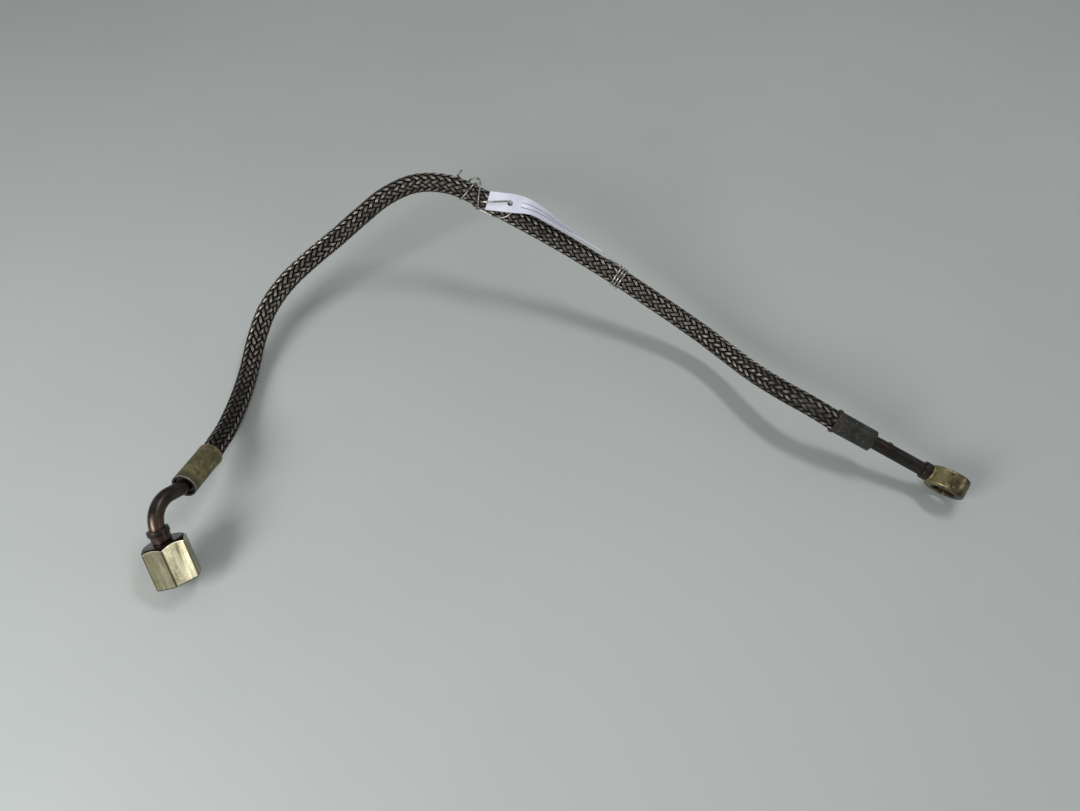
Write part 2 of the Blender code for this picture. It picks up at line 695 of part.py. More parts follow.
def tag_middle(distance):
    """Middle of the tag and the lean of its width, at a distance along the hose."""
    index = 0
    while index < len(TAG_STOPS) - 2 and TAG_STOPS[index + 1][0] < distance:
        index += 1
    near, far = TAG_STOPS[index], TAG_STOPS[index + 1]
    share = (distance - near[0]) / (far[0] - near[0])
    rise, back, lean = (near[k] + (far[k] - near[k]) * share for k in (1, 2, 3))
    middle = beside_hose(distance, rise * HOSE_RADIUS, back * HOSE_RADIUS)
    turn = math.radians(lean)
    edge = beside_hose(
        distance,
        rise * HOSE_RADIUS + math.cos(turn),
        back * HOSE_RADIUS + math.sin(turn),
    )
    return middle, (edge - middle).normalized()


def tag_section(distance):
    """Middle of the tag, its heading and the direction of its width, square to the heading."""
    reach = TAG_STEP / 2
    before, _ = tag_middle(distance - reach)
    after, _ = tag_middle(distance + reach)
    middle, across = tag_middle(distance)
    heading = (after - before).normalized()
    return middle, heading, (across - heading * across.dot(heading)).normalized()


def stock_tag(home, tools):
    """Paper tag threaded on the upper tie, sprung off the hose in its middle."""
    paper = paint("tag_card", (0.6, 0.6, 0.7), 0.6, 0.0)
    first, last = TAG_STOPS[0][0], TAG_STOPS[-1][0]
    steps = round((last - first) / TAG_STEP)
    grid = bmesh.new()
    rows = []
    for step in range(steps + 1):
        middle, _, across = tag_section(first + (last - first) * step / steps)
        reach = across * (TAG_WIDTH / 2 * MM)
        rows.append([grid.verts.new(middle + reach * side) for side in (-1, 0, 1)])
    for row, after in zip(rows, rows[1:]):
        for side in (0, 1):
            grid.faces.new((row[side], after[side], after[side + 1], row[side + 1]))
    mesh = bpy.data.meshes.new("stock_tag")
    grid.to_mesh(mesh)
    grid.free()
    smooth(mesh)
    tag = place(bpy.data.objects.new("stock_tag", mesh), home, paper)
    card = tag.modifiers.new("card", "SOLIDIFY")
    card.thickness = TAG_THICKNESS * MM
    card.offset = 0.0

    middle, heading, across = tag_section(TAG_HOLE_AT)
    normal = across.cross(heading)
    punch = bmesh.new()
    bmesh.ops.create_cone(
        punch,
        cap_ends=True,
        segments=16,
        radius1=TAG_HOLE_RADIUS * MM,
        radius2=TAG_HOLE_RADIUS * MM,
        depth=3 * MM,
    )
    mesh = bpy.data.meshes.new("tag_punch")
    punch.to_mesh(mesh)
    punch.free()
    cutter = place(bpy.data.objects.new("tag_punch", mesh), tools)
    cutter.location = middle
    cutter.rotation_euler = normal.to_track_quat("Z", "Y").to_euler()
    combine(tag, cutter, "DIFFERENCE")


def main():
    """Build the whole line."""
    clear_scene()
    home = collection("fuel_line")
    tools = collection("fuel_line_cutters")
    upright = Vector((0, 0, 1))
    left = axis_empty("elbow_end_axis", ELBOW_MOUTH, ELBOW_AXIS, upright, home)
    right = axis_empty("banjo_end_axis", BANJO_MOUTH, BANJO_AXIS, BANJO_AXIS.cross(Vector(EYE_AXIS)), home)
    nut_axis = axis_empty("nut_swivel_axis", NUT_ORIGIN, NUT_DIRECTION, NUT_CORNER, home)
    elbow_end(home, left)
    elbow(home)
    union_nut(home, tools, nut_axis)
    nipple(home, nut_axis)
    stop_collar(home, nut_axis)
    neck = banjo_end(home, right)
    banjo_eye(home, tools, right, neck)
    hose(home)
    ties(home)
    stock_tag(home, tools)


main()
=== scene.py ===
"""Wire-braided fuel line with a steel elbow and union nut at one end and a banjo eye at the other."""
import math

import bmesh
import bpy
from mathutils import Matrix, Vector

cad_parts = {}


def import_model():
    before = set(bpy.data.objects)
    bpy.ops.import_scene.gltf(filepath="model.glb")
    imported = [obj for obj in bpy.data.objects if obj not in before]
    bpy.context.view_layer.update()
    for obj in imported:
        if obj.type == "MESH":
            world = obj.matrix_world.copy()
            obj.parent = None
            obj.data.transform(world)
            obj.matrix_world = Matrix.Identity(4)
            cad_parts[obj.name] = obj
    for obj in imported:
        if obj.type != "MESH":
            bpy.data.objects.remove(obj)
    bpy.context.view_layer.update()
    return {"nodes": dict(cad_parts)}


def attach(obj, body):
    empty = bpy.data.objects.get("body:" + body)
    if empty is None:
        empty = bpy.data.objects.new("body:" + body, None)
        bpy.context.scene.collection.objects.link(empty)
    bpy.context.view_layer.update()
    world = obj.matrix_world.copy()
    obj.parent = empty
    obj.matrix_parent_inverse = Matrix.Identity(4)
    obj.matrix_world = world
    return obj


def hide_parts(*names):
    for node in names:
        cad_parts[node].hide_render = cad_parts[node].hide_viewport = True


MM = 0.001

# The bench frame that the camera and the route were measured in, as in the part's source.
BENCH_UNIT = 1.06
BENCH_ORIGIN = (15.351, 156.915, 0.0)

# The camera stood over the bench and looked down across it.
CAMERA_HEIGHT = 290.2
CAMERA_TILT = math.radians(54.0)
CAMERA_ROLL = 0.036
FOCAL_SHARE = 811 / 1080

# Hose and braid, in millimetres.
HOSE_RADIUS = 4.5
CRIMP_FACTOR = 0.86
CRIMPED_RADIUS = HOSE_RADIUS * CRIMP_FACTOR
CRIMP_RAMP = 3.0
CLEARANCE = 0.3
SKIN_GAP = 0.02
CORE_RADIUS = 3.62
CORE_INSET = 10.0
CORE_STEP = 2.5
BRAID_RADIUS = 4.12
BRAID_HEIGHT = 0.23
BRAID_WIRE_RADIUS = 0.15
BRAID_WIRE_SPACING = 0.28
BRAID_WIRES = 4
BRAID_CARRIERS = 12
BRAID_LEAD = 45.0
BRAID_STEP = 1.1
BRAID_INSET = 3.5
BRAID_LINE_STEP = 2.0

# Directions and places of the two ends.
ELBOW_FERRULE_MOUTH = (-131.6, 172.0, 12.2)
ELBOW_FERRULE_AXIS = (-0.145, -0.927, 0.338)
BANJO_FERRULE_MOUTH = (121.2, 194.8, 19.22)
STUB_AXIS = (0.883, -0.422, -0.206)
EYE_AXIS = (-0.468, -0.755, -0.463)
NUT_FACE = (-136.548, 130.557, 17.421)
NUT_AXIS = (-0.327, 0.6095, 0.7222)
NUT_CORNER = (0.3161, -0.6496, 0.6914)

# Points on the hose's middle between the ferrules.
HOSE_ROUTE = (
    (-131.3, 177.3, 10.6), (-130.8, 184.5, 8.2), (-130.5, 191.8, 6.4), (-130.1, 206.5, 4.48),
    (-129.8, 221.0, 4.83), (-128.6, 235.3, 9.6), (-124.6, 247.6, 16.4), (-116.7, 258.7, 22.9),
    (-106.8, 268.8, 27.8), (-96.0, 278.2, 32.5), (-85.0, 286.1, 38.9), (-73.3, 292.1, 46.1),
    (-59.7, 295.0, 51.4), (-44.9, 294.2, 52.2), (-30.8, 290.6, 48.6), (-17.4, 286.1, 43.8),
    (-3.9, 281.4, 39.2), (9.5, 276.1, 34.8), (22.6, 270.3, 30.4), (35.5, 264.2, 26.0),
    (48.3, 257.5, 21.7), (60.8, 250.3, 17.9), (72.8, 241.6, 15.4), (83.2, 230.9, 15.2),
    (92.4, 219.3, 17.3), (102.1, 208.3, 20.2), (111.2, 200.7, 21.2),
)

# Fittings, in millimetres.
FERRULE_BORE = CRIMPED_RADIUS + CLEARANCE
FERRULE_RECESS = 1.2
ELBOW_FERRULE_LENGTH = 21.9
ELBOW_FERRULE_RADIUS = 5.19
ELBOW_LIP = (0.15, 2.2)
BANJO_FERRULE_LENGTH = 18.4
BANJO_FERRULE_RADIUS = 4.93
BANJO_LIP = (0.55, 1.15)
BANJO_FERRULE_TAPER = 0.12
TUBE_RADIUS = 3.0
TUBE_BORE = 2.0
TUBE_SEAT_RADIUS = TUBE_RADIUS + CLEARANCE
ELBOW_KICK_OFFSET = 0.27
ELBOW_KICK_RADIUS = 3.6
ELBOW_CORNER_RISE = 15.1
ELBOW_BEND_RADIUS = 11.0
NUT_ACROSS_FLATS = 16.0
NUT_LENGTH = 17.0
NUT_CORNER_EASE = 0.3
NUT_THREAD_RADIUS = 5.2
NUT_THREAD_PITCH = 1.5
NUT_THREAD_TURNS = 4.6
NUT_THREAD_RIDGE = 0.5
NUT_THREAD_START = 1.2
NUT_MOUTH_RADIUS = 6.2
NUT_MOUTH_DEPTH = 1.0
NUT_BACK_WALL = 3.2
NUT_BACK_CHAMFER_RADIUS = 7.45
NUT_BACK_CHAMFER_ANGLE = 39.0
NUT_OPEN_CHAMFER_RADIUS = 8.75
NUT_OPEN_CHAMFER_ANGLE = 30.0
NIPPLE_SOCKET_DEPTH = 8.6
COLLAR_SLEEVE_RADIUS = 3.8
COLLAR_SLEEVE_LENGTH = 2.9
COLLAR_FLANGE_RADIUS = 4.3
COLLAR_FLANGE_LENGTH = 2.3
STUB_LENGTH = 24.1
LUMP_SIZE = (0.5, 0.7, 1.3)
LUMP_FROM_FERRULE = 7.5
BRAZE_RADIUS = 3.9
BRAZE_LENGTH = 2.8
EYE_RADIUS = 8.5
EYE_THICKNESS = 8.5
EYE_HOLE_RADIUS = 5.0
EYE_GROOVE_DEPTH = 0.6
EYE_GROOVE_WIDTH = 3.0
EYE_END_FLAT = 0.35
EYE_NECK_RADIUS = 4.1
EYE_NECK_LENGTH = 5.2
EYE_SOCKET_DEPTH = 2.0
EYE_CENTRE_FROM_NECK = EYE_RADIUS + 0.1

# The two tie wires. Each stop is the distance along the hose from the elbow ferrule in bench
# units, the angle round the hose from straight up, and the gap under the wire in millimetres.
TIE_RADIUS = 0.45
TIE_SEAT_RADIUS = HOSE_RADIUS + TIE_RADIUS + 0.05
UPPER_TIE_STOPS = (
    (189.0, 42, 3.3), (187.9, 46, 0.3), (189.6, 92, 0.0), (190.6, 132, 0.0), (191.6, 190, 0.0),
    (192.4, 226, 0.0), (193.4, 267, 0.0), (194.7, 312, 0.0), (195.9, 372, 0.3),
    (196.5, 422, 0.2), (197.1, 492, 0.0), (199.2, 576, 0.0), (201.4, 617, 0.0),
    (200.8, 652, 0.0), (199.4, 702, 0.2), (198.2, 742, 1.4), (196.4, 764, 2.5),
    (194.0, 774, 1.6), (192.9, 790, 0.4), (194.5, 822, 0.3), (196.5, 862, 0.9),
    (198.5, 892, 1.3), (200.5, 920, 0.8), (202.2, 940, 0.2), (205.0, 948, 0.05),
    (209.0, 958, 0.0), (212.6, 985, 0.0), (215.2, 1015, 0.0), (216.3, 1045, 0.1),
    (216.2, 1064, 0.8), (215.2, 1071, 1.8), (214.0, 1071, 2.5), (212.6, 1069, 3.2),
    (209.0, 1054, 2.2), (205.0, 1033, 1.3), (203.0, 1024.5, 0.9),
)
LOWER_TIE_LEAD = ((264.1, 30, 0.0), (267.8, 37, 0.05), (270.4, 42, 0.3))
LOWER_TIE_TURN = ((0.0, 25, 0.1), (-0.1, -45, 0.0), (-0.1, -135, 0.0), (0.6, -225, 0.0))
LOWER_TIE_TURNS = 3
LOWER_TIE_START = 271.6
LOWER_TIE_PITCH = 1.45

# The tag: distance along the hose in bench units, height over and distance behind its middle in
# hose radii, and the lean of the tag's width from straight up.
TAG_STOPS = (
    (204.5, 0.93, -0.83, 51), (208.5, 1.26, -0.57, 50), (214.0, 1.68, -0.26, 54),
    (220.5, 1.92, 0.21, 78), (227.5, 1.94, 0.45, 100), (237.5, 1.72, 0.50, 116),
    (249.5, 1.43, 0.68, 129), (260.5, 1.25, 0.78, 136),
)
TAG_WIDTH = 8.8
TAG_THICKNESS = 0.22
TAG_BOW = 0.12
TAG_ROWS = 72
TAG_COLUMNS = 8
TAG_SPAN_PARTS = 20
TAG_HOLE_RADIUS = 1.35
TAG_HOLE_AT = 214.0


def bench(place):
    """A place on the bench, in the part's own frame and in metres."""
    return (Vector(place) - Vector(BENCH_ORIGIN)) * BENCH_UNIT * MM


def along(origin, axis, distance):
    """The point at a distance in millimetres from origin along axis."""
    return origin + axis * (distance * MM)


def standing(origin, axis, side=None):
    """Matrix that stands a piece made in millimetres at origin, its +Z along axis.
    side is the direction of its +X, made square to axis."""
    across = side if side is not None else axis.orthogonal()
    across = (across - axis * across.dot(axis)).normalized()
    other = axis.cross(across)
    turn = Matrix((across, other, axis)).transposed().to_4x4()
    return Matrix.Translation(origin) @ turn @ Matrix.Scale(MM, 4)


ELBOW_MOUTH = bench(ELBOW_FERRULE_MOUTH)
ELBOW_AXIS = Vector(ELBOW_FERRULE_AXIS).normalized()
BANJO_MOUTH = bench(BANJO_FERRULE_MOUTH)
BANJO_AXIS = Vector(STUB_AXIS).normalized()
NUT_ORIGIN = bench(NUT_FACE)
NUT_DIRECTION = Vector(NUT_AXIS).normalized()
ELBOW_STAND = standing(ELBOW_MOUTH, ELBOW_AXIS)
BANJO_STAND = standing(BANJO_MOUTH, BANJO_AXIS, Vector(EYE_AXIS))
NUT_STAND = standing(NUT_ORIGIN, NUT_DIRECTION, Vector(NUT_CORNER))
NECK_START = BANJO_FERRULE_LENGTH + STUB_LENGTH + BRAZE_LENGTH + CLEARANCE
EYE_CENTRE = NECK_START + EYE_CENTRE_FROM_NECK


EYE_RIM = EYE_CENTRE + EYE_RADIUS
NUT_BACK_SLOPE = math.tan(math.radians(NUT_BACK_CHAMFER_ANGLE))
NUT_BACK_EDGE = NUT_BACK_CHAMFER_RADIUS * NUT_BACK_SLOPE

# Each finish is the stand that it lies in, its base colour, its layers in order, the number of the
# layer whose noise shapes the surface, its metal, its roughness at that noise's two ends and its
# relief in millimetres. A layer that starts with a number is patches of noise, drawn out along
# the axis by that share: colour, patches per metre, and the noise where it starts and is full.
# The others are zones: colour, the millimetres where it starts and is full, and its strength.
FINISHES = {
    # Zinc-plated hexagon bar: pale straw flats with drawn streaks, painted shade on one side and round the
    # back, and a painted highlight along the back chamfer's edge.
    "nut_worn_zinc_plate": (NUT_STAND, "#9d977a", (
        (1, "#c4bd9f", 190, 0.35, 0.65),
        (0.1, "#e1dac0", 520, 0.54, 0.72),
        (0.1, "#6f6748", 300, 0.56, 0.68),
        (1, "#9c8a4f", 420, 0.62, 0.76),
        # Painted shade: the flats on one side darker.
        ("Y", "#6f6a4f", -0.2, -0.5, 0.5),
        ("radial", "#40361f", 8.9, 9.1, 0.85),
        # Painted highlight: a pale line where the flats meet the back chamfer.
        ("sloped", "#e8e2cd", NUT_BACK_EDGE - 0.4, NUT_BACK_EDGE - 0.24, 0.8),
        # Painted shade: the back chamfer and the back face dark.
        ("sloped", "#2e251d", NUT_BACK_EDGE - 0.12, NUT_BACK_EDGE - 0.04),
        ("Z", "#2e251d", -0.12, -0.04),
        ("Z", "#352d20", 0.45 - NUT_LENGTH, 0.2 - NUT_LENGTH),
    ), 1, 0.9, (0.2, 0.36), 0.06),
    # Drawn steel tube browned by brazing: dark and oily, with a painted coppery highlight near the nut.
    "heat_browned_steel_tube": (None, "#242120", (
        (1, "#3f3834", 160, 0.35, 0.68),
        # Painted highlight: coppery towards the nut.
        ("from_nut", "#66503f", 15, 4, 0.5),
        (1, "#705848", 900, 0.58, 0.78),
        (1, "#191614", 420, 0.56, 0.74),
    ), 0, 0.75, (0.26, 0.42), 0.05),
    # Turned collar, browned like the tube beside it but redder and duller.
    "heat_browned_collar": (NUT_STAND, "#2e2420", (
        (1, "#4e3b34", 300, 0.35, 0.68),
        (1, "#2a211d", 520, 0.52, 0.72),
        ("Z", "#2b2421", 2.6, 3.2),
    ), 0, 0.6, (0.3, 0.5), 0.08),
    # Yellow-passivated zinc over steel, gone olive and mottled, rubbed bare on its end rims, with painted
    # shade on its far end face and in its bore.
    "yellow_passivated_zinc": (ELBOW_STAND, "#5c553c", (
        (1, "#857b57", 120, 0.35, 0.65),
        (1, "#a59a72", 520, 0.56, 0.74),
        (1, "#3b3527", 260, 0.54, 0.72),
        (1, "#7d5f36", 340, 0.62, 0.76),
        ("Z", "#b9b08f", 0.45, 0.25),
        ("Z", "#4a463b", 16.4, 19.9, 0.6),
        ("Z", "#9c998c", ELBOW_FERRULE_LENGTH - 0.6, ELBOW_FERRULE_LENGTH - 0.4),
        # Painted shade: the far end face dark.
        ("Z", "#2d2924", ELBOW_FERRULE_LENGTH - 0.16, ELBOW_FERRULE_LENGTH - 0.06),
        # Painted shade: dark inside the bore.
        ("radial", "#1b1815", FERRULE_BORE + 0.3, FERRULE_BORE + 0.12),
    ), 1, 0.65, (0.36, 0.55), 0.06),
    # Blackened steel with a skin of rust and grease, and painted shade in its bore.
    "rusted_blackened_steel": (BANJO_STAND, "#1e1e1c", (
        (1, "#3b3a35", 150, 0.35, 0.65),
        (1, "#77746a", 900, 0.58, 0.74),
        (1, "#3d2a22", 330, 0.58, 0.74),
        ("Z", "#3c2c24", 1.4, 0.9, 0.7),
        # Painted shade: dark inside the bore.
        ("radial", "#151311", FERRULE_BORE + 0.3, FERRULE_BORE + 0.12),
    ), 1, 0.4, (0.5, 0.38), 0.14),
    # Oily blackened tube with reddish lines of rust drawn out along it.
    "oily_black_steel_tube": (BANJO_STAND, "#171412", (
        (0.2, "#35302a", 260, 0.38, 0.68),
        (0.2, "#3f2a21", 420, 0.56, 0.72),
    ), 0, 0.5, (0.28, 0.45), 0.1),
    # Yellow-plated eye, bright where it was rubbed and brown in patches, darker towards its far end, with a
    # painted highlight on its neck side.
    "tarnished_yellow_plate": (BANJO_STAND, "#4f4630", (
        (1, "#7c714f", 110, 0.36, 0.66),
        (1, "#d0c596", 190, 0.54, 0.7),
        (1, "#2d251b", 230, 0.47, 0.62),
        (1, "#6b4630", 420, 0.6, 0.74),
        # Painted highlight: lighter on the neck side.
        ("Z", "#a89d70", EYE_CENTRE - 2, EYE_CENTRE - 6, 0.5),
        ("Z", "#30251b", EYE_CENTRE, EYE_CENTRE + 5, 0.6),
        ("Z", "#2a241c", EYE_RIM - 1.5, EYE_RIM - 0.9, 0.8),
        ("Z", "#8b8a80", EYE_RIM - 0.55, EYE_RIM - 0.4),
    ), 1, 0.8, (0.42, 0.24), 0.06),
    # Soft galvanised binding wire, brighter than the braid, with dark grease on it.
    "soft_galvanised_wire": (None, "#aaa8a2", (
        (1, "#5b5853", 420, 0.42, 0.72),
    ), 0, 0.8, (0.24, 0.36), 0.02),
    # Oil-proof rubber under the braid, matt and nearly black.
    "black_rubber_core": (None, "#100e0d", (
        (1, "#1c1917", 1500, 0.3, 0.7),
    ), 0, 0.0, (0.7, 0.85), 0.05),
    # Turned steel inserts and nipple, grey-brown and oily.
    "dark_turned_steel": (None, "#2b2623", (
        (1, "#544c44", 500, 0.35, 0.7),
    ), 0, 0.7, (0.3, 0.48), 0.05),
    # Plain pale floor.
    "pale_grey_floor": (None, "#a9aeac", (
        (1, "#aeb2b0", 3, 0.3, 0.7),
    ), 0, 0.0, (0.5, 0.6), 0.01),
}


def with_ends(points):
    """The given points with one more beyond each end, straight on."""
    return [points[0] * 2 - points[1], *points, points[-1] * 2 - points[-2]]


def spline_through(points, parts):
    """Points on a smooth curve through the given points, each span cut into parts."""
    ends = with_ends(points)
    curve = []
    for index in range(1, len(ends) - 2):
        before, here, there, after = ends[index - 1:index + 3]
        for part in range(parts):
            t = part / parts
            pull = (there - before) * t
            bow = (before * 2 - here * 5 + there * 4 - after) * t * t
            lift = (here * 3 - before - there * 3 + after) * t ** 3
            curve.append((here * 2 + pull + bow + lift) / 2)
    curve.append(ends[-2])
    return curve


def running_lengths(points):
    """Distance along a line of points, from its first."""
    lengths = [0.0]
    for before, here in zip(points, points[1:]):
        lengths.append(lengths[-1] + (here - before).length)
    return lengths


def at_length(points, lengths, distance):
    """The point and direction at a distance along a line of points."""
    index = 1
    while index < len(points) - 1 and lengths[index] < distance:
        index += 1
    span = lengths[index] - lengths[index - 1]
    share = (distance - lengths[index - 1]) / span
    heading = (points[index] - points[index - 1]).normalized()
    return points[index - 1].lerp(points[index], share), heading


def free_hose():
    """The hose's middle between the two ferrule mouths, as a fine line of points."""
    lead_in = along(ELBOW_MOUTH, ELBOW_AXIS, CRIMP_RAMP)
    lead_out = along(BANJO_MOUTH, BANJO_AXIS, CRIMP_RAMP)
    route = [lead_in, ELBOW_MOUTH, *[bench(p) for p in HOSE_ROUTE], BANJO_MOUTH, lead_out]
    parts = 10
    return spline_through(route, parts)[parts:-parts]


FREE_HOSE = free_hose()
FREE_LENGTHS = running_lengths(FREE_HOSE)


def hose_line(inset, step):
    """The hose's middle from one ferrule's inside to the other's, in even steps."""
    whole = FREE_LENGTHS[-1]
    count = round(whole / (step * MM))
    free = [at_length(FREE_HOSE, FREE_LENGTHS, whole * index / count)[0] for index in range(count + 1)]
    return [along(ELBOW_MOUTH, ELBOW_AXIS, inset), *free, along(BANJO_MOUTH, BANJO_AXIS, inset)]


def beside_hose(distance, rise, back):
    """A point over and behind the hose's middle, at a distance from the elbow ferrule."""
    centre, heading = at_length(FREE_HOSE, FREE_LENGTHS, distance * BENCH_UNIT * MM)
    up = (Vector((0, 0, 1)) - heading * heading.z).normalized()
    behind = up.cross(heading)
    return centre + up * (rise * MM) + behind * (back * MM)


def round_hose(distance, angle, stand_off):
    """A point at an angle round the hose, as far off the braid as a wire's middle runs."""
    turn = math.radians(angle)
    radius = TIE_SEAT_RADIUS + stand_off
    return beside_hose(distance, radius * math.cos(turn), radius * math.sin(turn))


def linear(code):
    """The linear colour of a six-figure sRGB hex value."""
    channels = [int(code[index:index + 2], 16) / 255 for index in (1, 3, 5)]
    return (*[c / 12.92 if c <= 0.04045 else ((c + 0.055) / 1.055) ** 2.4 for c in channels], 1.0)


def add(tree, kind, sockets=None, **settings):
    """A new node in tree with its settings, each socket given a value or a link."""
    made = tree.nodes.new(kind)
    for name, value in settings.items():
        setattr(made, name, value)
    for socket, value in (sockets or {}).items():
        if isinstance(value, bpy.types.NodeSocket):
            tree.links.new(value, made.inputs[socket])
        else:
            made.inputs[socket].default_value = value
    return made


def finish_of(name):
    """A new material with its node tree, its surface shader and its output."""
    material = bpy.data.materials.new(name)
    material.use_nodes = True
    tree = material.node_tree
    tree.nodes.clear()
    shader = add(tree, "ShaderNodeBsdfPrincipled")
    add(tree, "ShaderNodeOutputMaterial", {"Surface": shader.outputs["BSDF"]})
    return material, tree, shader


def own_place(tree, stand=None):
    """Object coordinates, or the coordinates along a fitting's own axis in metres."""
    place = add(tree, "ShaderNodeTexCoord").outputs["Object"]
    if stand is None:
        return place
    settings = {"Vector": place, "Location": stand.translation, "Rotation": stand.to_euler()}
    return add(tree, "ShaderNodeMapping", settings, vector_type="TEXTURE").outputs["Vector"]


def zone(tree, colour, over, value, start, full, strength=1.0):
    """Lays a colour over another where a value runs from start to full."""
    share = add(tree, "ShaderNodeMapRange", {
        "Value": value, "From Min": start, "From Max": full, "To Max": strength,
    }, interpolation_type="SMOOTHSTEP").outputs["Result"]
    return add(tree, "ShaderNodeMix", {0: share, 6: colour, 7: linear(over)}, data_type="RGBA").outputs[2]


def wear(tree, place, colour, over, scale, low, high):
    """Lays a colour over another in noisy patches, with scale in patches per metre.
    Gives back the mixed colour and the noise itself."""
    noise = add(tree, "ShaderNodeTexNoise", {
        "Vector": place, "Scale": scale, "Detail": 5.0, "Roughness": 0.65,
    }).outputs["Fac"]
    return zone(tree, colour, over, noise, low, high), noise


def length_in(tree, place, by):
    """A length in a fitting's own place: along "Y" or "Z", "radial" from its axis, "sloped" like
    the nut's back chamfer, or "from_nut" along the nut's axis for a piece that isn't stood there."""
    if by == "from_nut":
        place, by = own_place(tree, NUT_STAND), "Z"
    parts = add(tree, "ShaderNodeSeparateXYZ", {"Vector": place}).outputs
    if by in ("Y", "Z"):
        return parts[by]
    flat = add(tree, "ShaderNodeVectorMath", {0: place, 1: (1, 1, 0)}, operation="MULTIPLY")
    radial = add(tree, "ShaderNodeVectorMath", {0: flat.outputs[0]}, operation="LENGTH").outputs["Value"]
    if by == "radial":
        return radial
    raised = {0: radial, 1: NUT_BACK_SLOPE, 2: parts["Z"]}
    return add(tree, "ShaderNodeMath", raised, operation="MULTIPLY_ADD").outputs[0]


def surfaced(tree, shader, colour, pattern, metal, rough, relief):
    """Sets a shader's colour and metal, and a roughness and relief that follow a pattern.
    rough holds the two ends of the roughness; relief is in millimetres."""
    tree.links.new(colour, shader.inputs["Base Color"])
    shader.inputs["Metallic"].default_value = metal
    spread = add(tree, "ShaderNodeMapRange", {
        "Value": pattern, "From Min": 0.3, "From Max": 0.7, "To Min": rough[0], "To Max": rough[1],
    })
    tree.links.new(spread.outputs["Result"], shader.inputs["Roughness"])
    bump = add(tree, "ShaderNodeBump", {"Height": pattern, "Strength": 0.5, "Distance": relief * MM})
    tree.links.new(bump.outputs["Normal"], shader.inputs["Normal"])


def coated(name):
    """A new material from its row in the table of finishes."""
    stand, base, layers, shaping, metal, rough, relief = FINISHES[name]
    material, tree, shader = finish_of(name)
    place = own_place(tree, stand)
    colour = linear(base)
    for number, (by, over, *reach) in enumerate(layers):
        if isinstance(by, str):
            start, full, *strength = reach
            colour = zone(tree, colour, over, length_in(tree, place, by), start * MM, full * MM, *strength)
            continue
        drawn = add(tree, "ShaderNodeMapping", {"Vector": place, "Scale": (1, 1, by)}).outputs["Vector"]
        colour, noise = wear(tree, drawn, colour, over, *reach)
        if number == shaping:
            pattern = noise
    surfaced(tree, shader, colour, pattern, metal, rough, relief)
    return material


def dull_braid_wire():
    """Galvanised wire gone grey-brown: rubbed bright on its crowns, and near black where it dives under,
    which is partly grime and partly painted shade.
    """
    material, tree, shader = finish_of("dulled_galvanised_wire")
    place = own_place(tree)
    crown = add(tree, "ShaderNodeAttribute", attribute_name="crown").outputs["Fac"]
    # Partly grime, partly painted shade: near black where a wire dives under another.
    colour = zone(tree, linear("#12100f"), "#938d84", crown, 0.6, 0.98)
    colour, grime = wear(tree, place, colour, "#352f29", 300, 0.46, 0.72)
    colour, _ = wear(tree, place, colour, "#5f4636", 800, 0.62, 0.76)
    for mouth, tone, start, full in ((ELBOW_MOUTH, "#25221f", 75, 15), (BANJO_MOUTH, "#38342f", 60, 10)):
        distance = add(tree, "ShaderNodeVectorMath", {0: place, 1: mouth}, operation="DISTANCE")
        colour = zone(tree, colour, tone, distance.outputs["Value"], start * MM, full * MM, 0.55)
    surfaced(tree, shader, colour, grime, 0.9, (0.25, 0.42), 0.02)
    return material


def laminated_card():
    """White card under clear film: faint lilac grey, with two plain ruled lines on one half."""
    material, tree, shader = finish_of("laminated_card")
    field = add(tree, "ShaderNodeUVMap", uv_map="tag").outputs["UV"]
    parts = add(tree, "ShaderNodeSeparateXYZ", {"Vector": field}).outputs
    colour, clouds = wear(tree, own_place(tree), linear("#c9c9da"), "#dadae6", 90, 0.3, 0.7)
    within = add(tree, "ShaderNodeMath", {0: parts["Y"], 1: 29.0 * MM, 2: 14.0 * MM}, operation="COMPARE")
    lines = []
    for middle in (3.0, 5.6):
        beside = {0: parts["X"], 1: middle * MM, 2: 0.22 * MM}
        lines.append(add(tree, "ShaderNodeMath", beside, operation="COMPARE").outputs[0])
    ruled = add(tree, "ShaderNodeMath", {0: lines[0], 1: lines[1]}, operation="ADD").outputs[0]
    ink = add(tree, "ShaderNodeMath", {0: ruled, 1: within.outputs[0]}, operation="MULTIPLY").outputs[0]
    colour = zone(tree, colour, "#6d6f80", ink, 0.0, 1.0)
    surfaced(tree, shader, colour, clouds, 0.0, (0.3, 0.42), 0.01)
    return material


def placed(name, data):
    """A new object in the scene, with its data."""
    piece = bpy.data.objects.new(name, data)
    bpy.context.scene.collection.objects.link(piece)
    return piece


def own_mesh(name, build):
    """A mesh object from a bmesh, smooth where its faces meet at a low angle."""
    mesh = bpy.data.meshes.new(name)
    bmesh.ops.recalc_face_normals(build, faces=build.faces)
    build.to_mesh(mesh)
    build.free()
    piece = placed(name, mesh)
    soft_edges(piece)
    return piece


def soft_edges(piece, angle=32.0):
    """Smooth shading with creases kept where faces meet at more than an angle."""
    mesh = piece.data
    mesh.shade_smooth()
    mesh.set_sharp_from_angle(angle=math.radians(angle))


def rounded(corners, steps=5):
    """A closed profile of (radius, height) points; a third number rounds its corner."""
    line = []
    count = len(corners)
    for index, corner in enumerate(corners):
        here = Vector(corner[:2])
        ease = corner[2] if len(corner) > 2 else 0.0
        if not ease:
            line.append(here)
            continue
        arrive = (here - Vector(corners[index - 1][:2])).normalized()
        leave = (Vector(corners[(index + 1) % count][:2]) - here).normalized()
        start, end = here - arrive * ease, here + leave * ease
        for step in range(steps + 1):
            t = step / steps
            line.append(start.lerp(here, t).lerp(here.lerp(end, t), t))
    return line


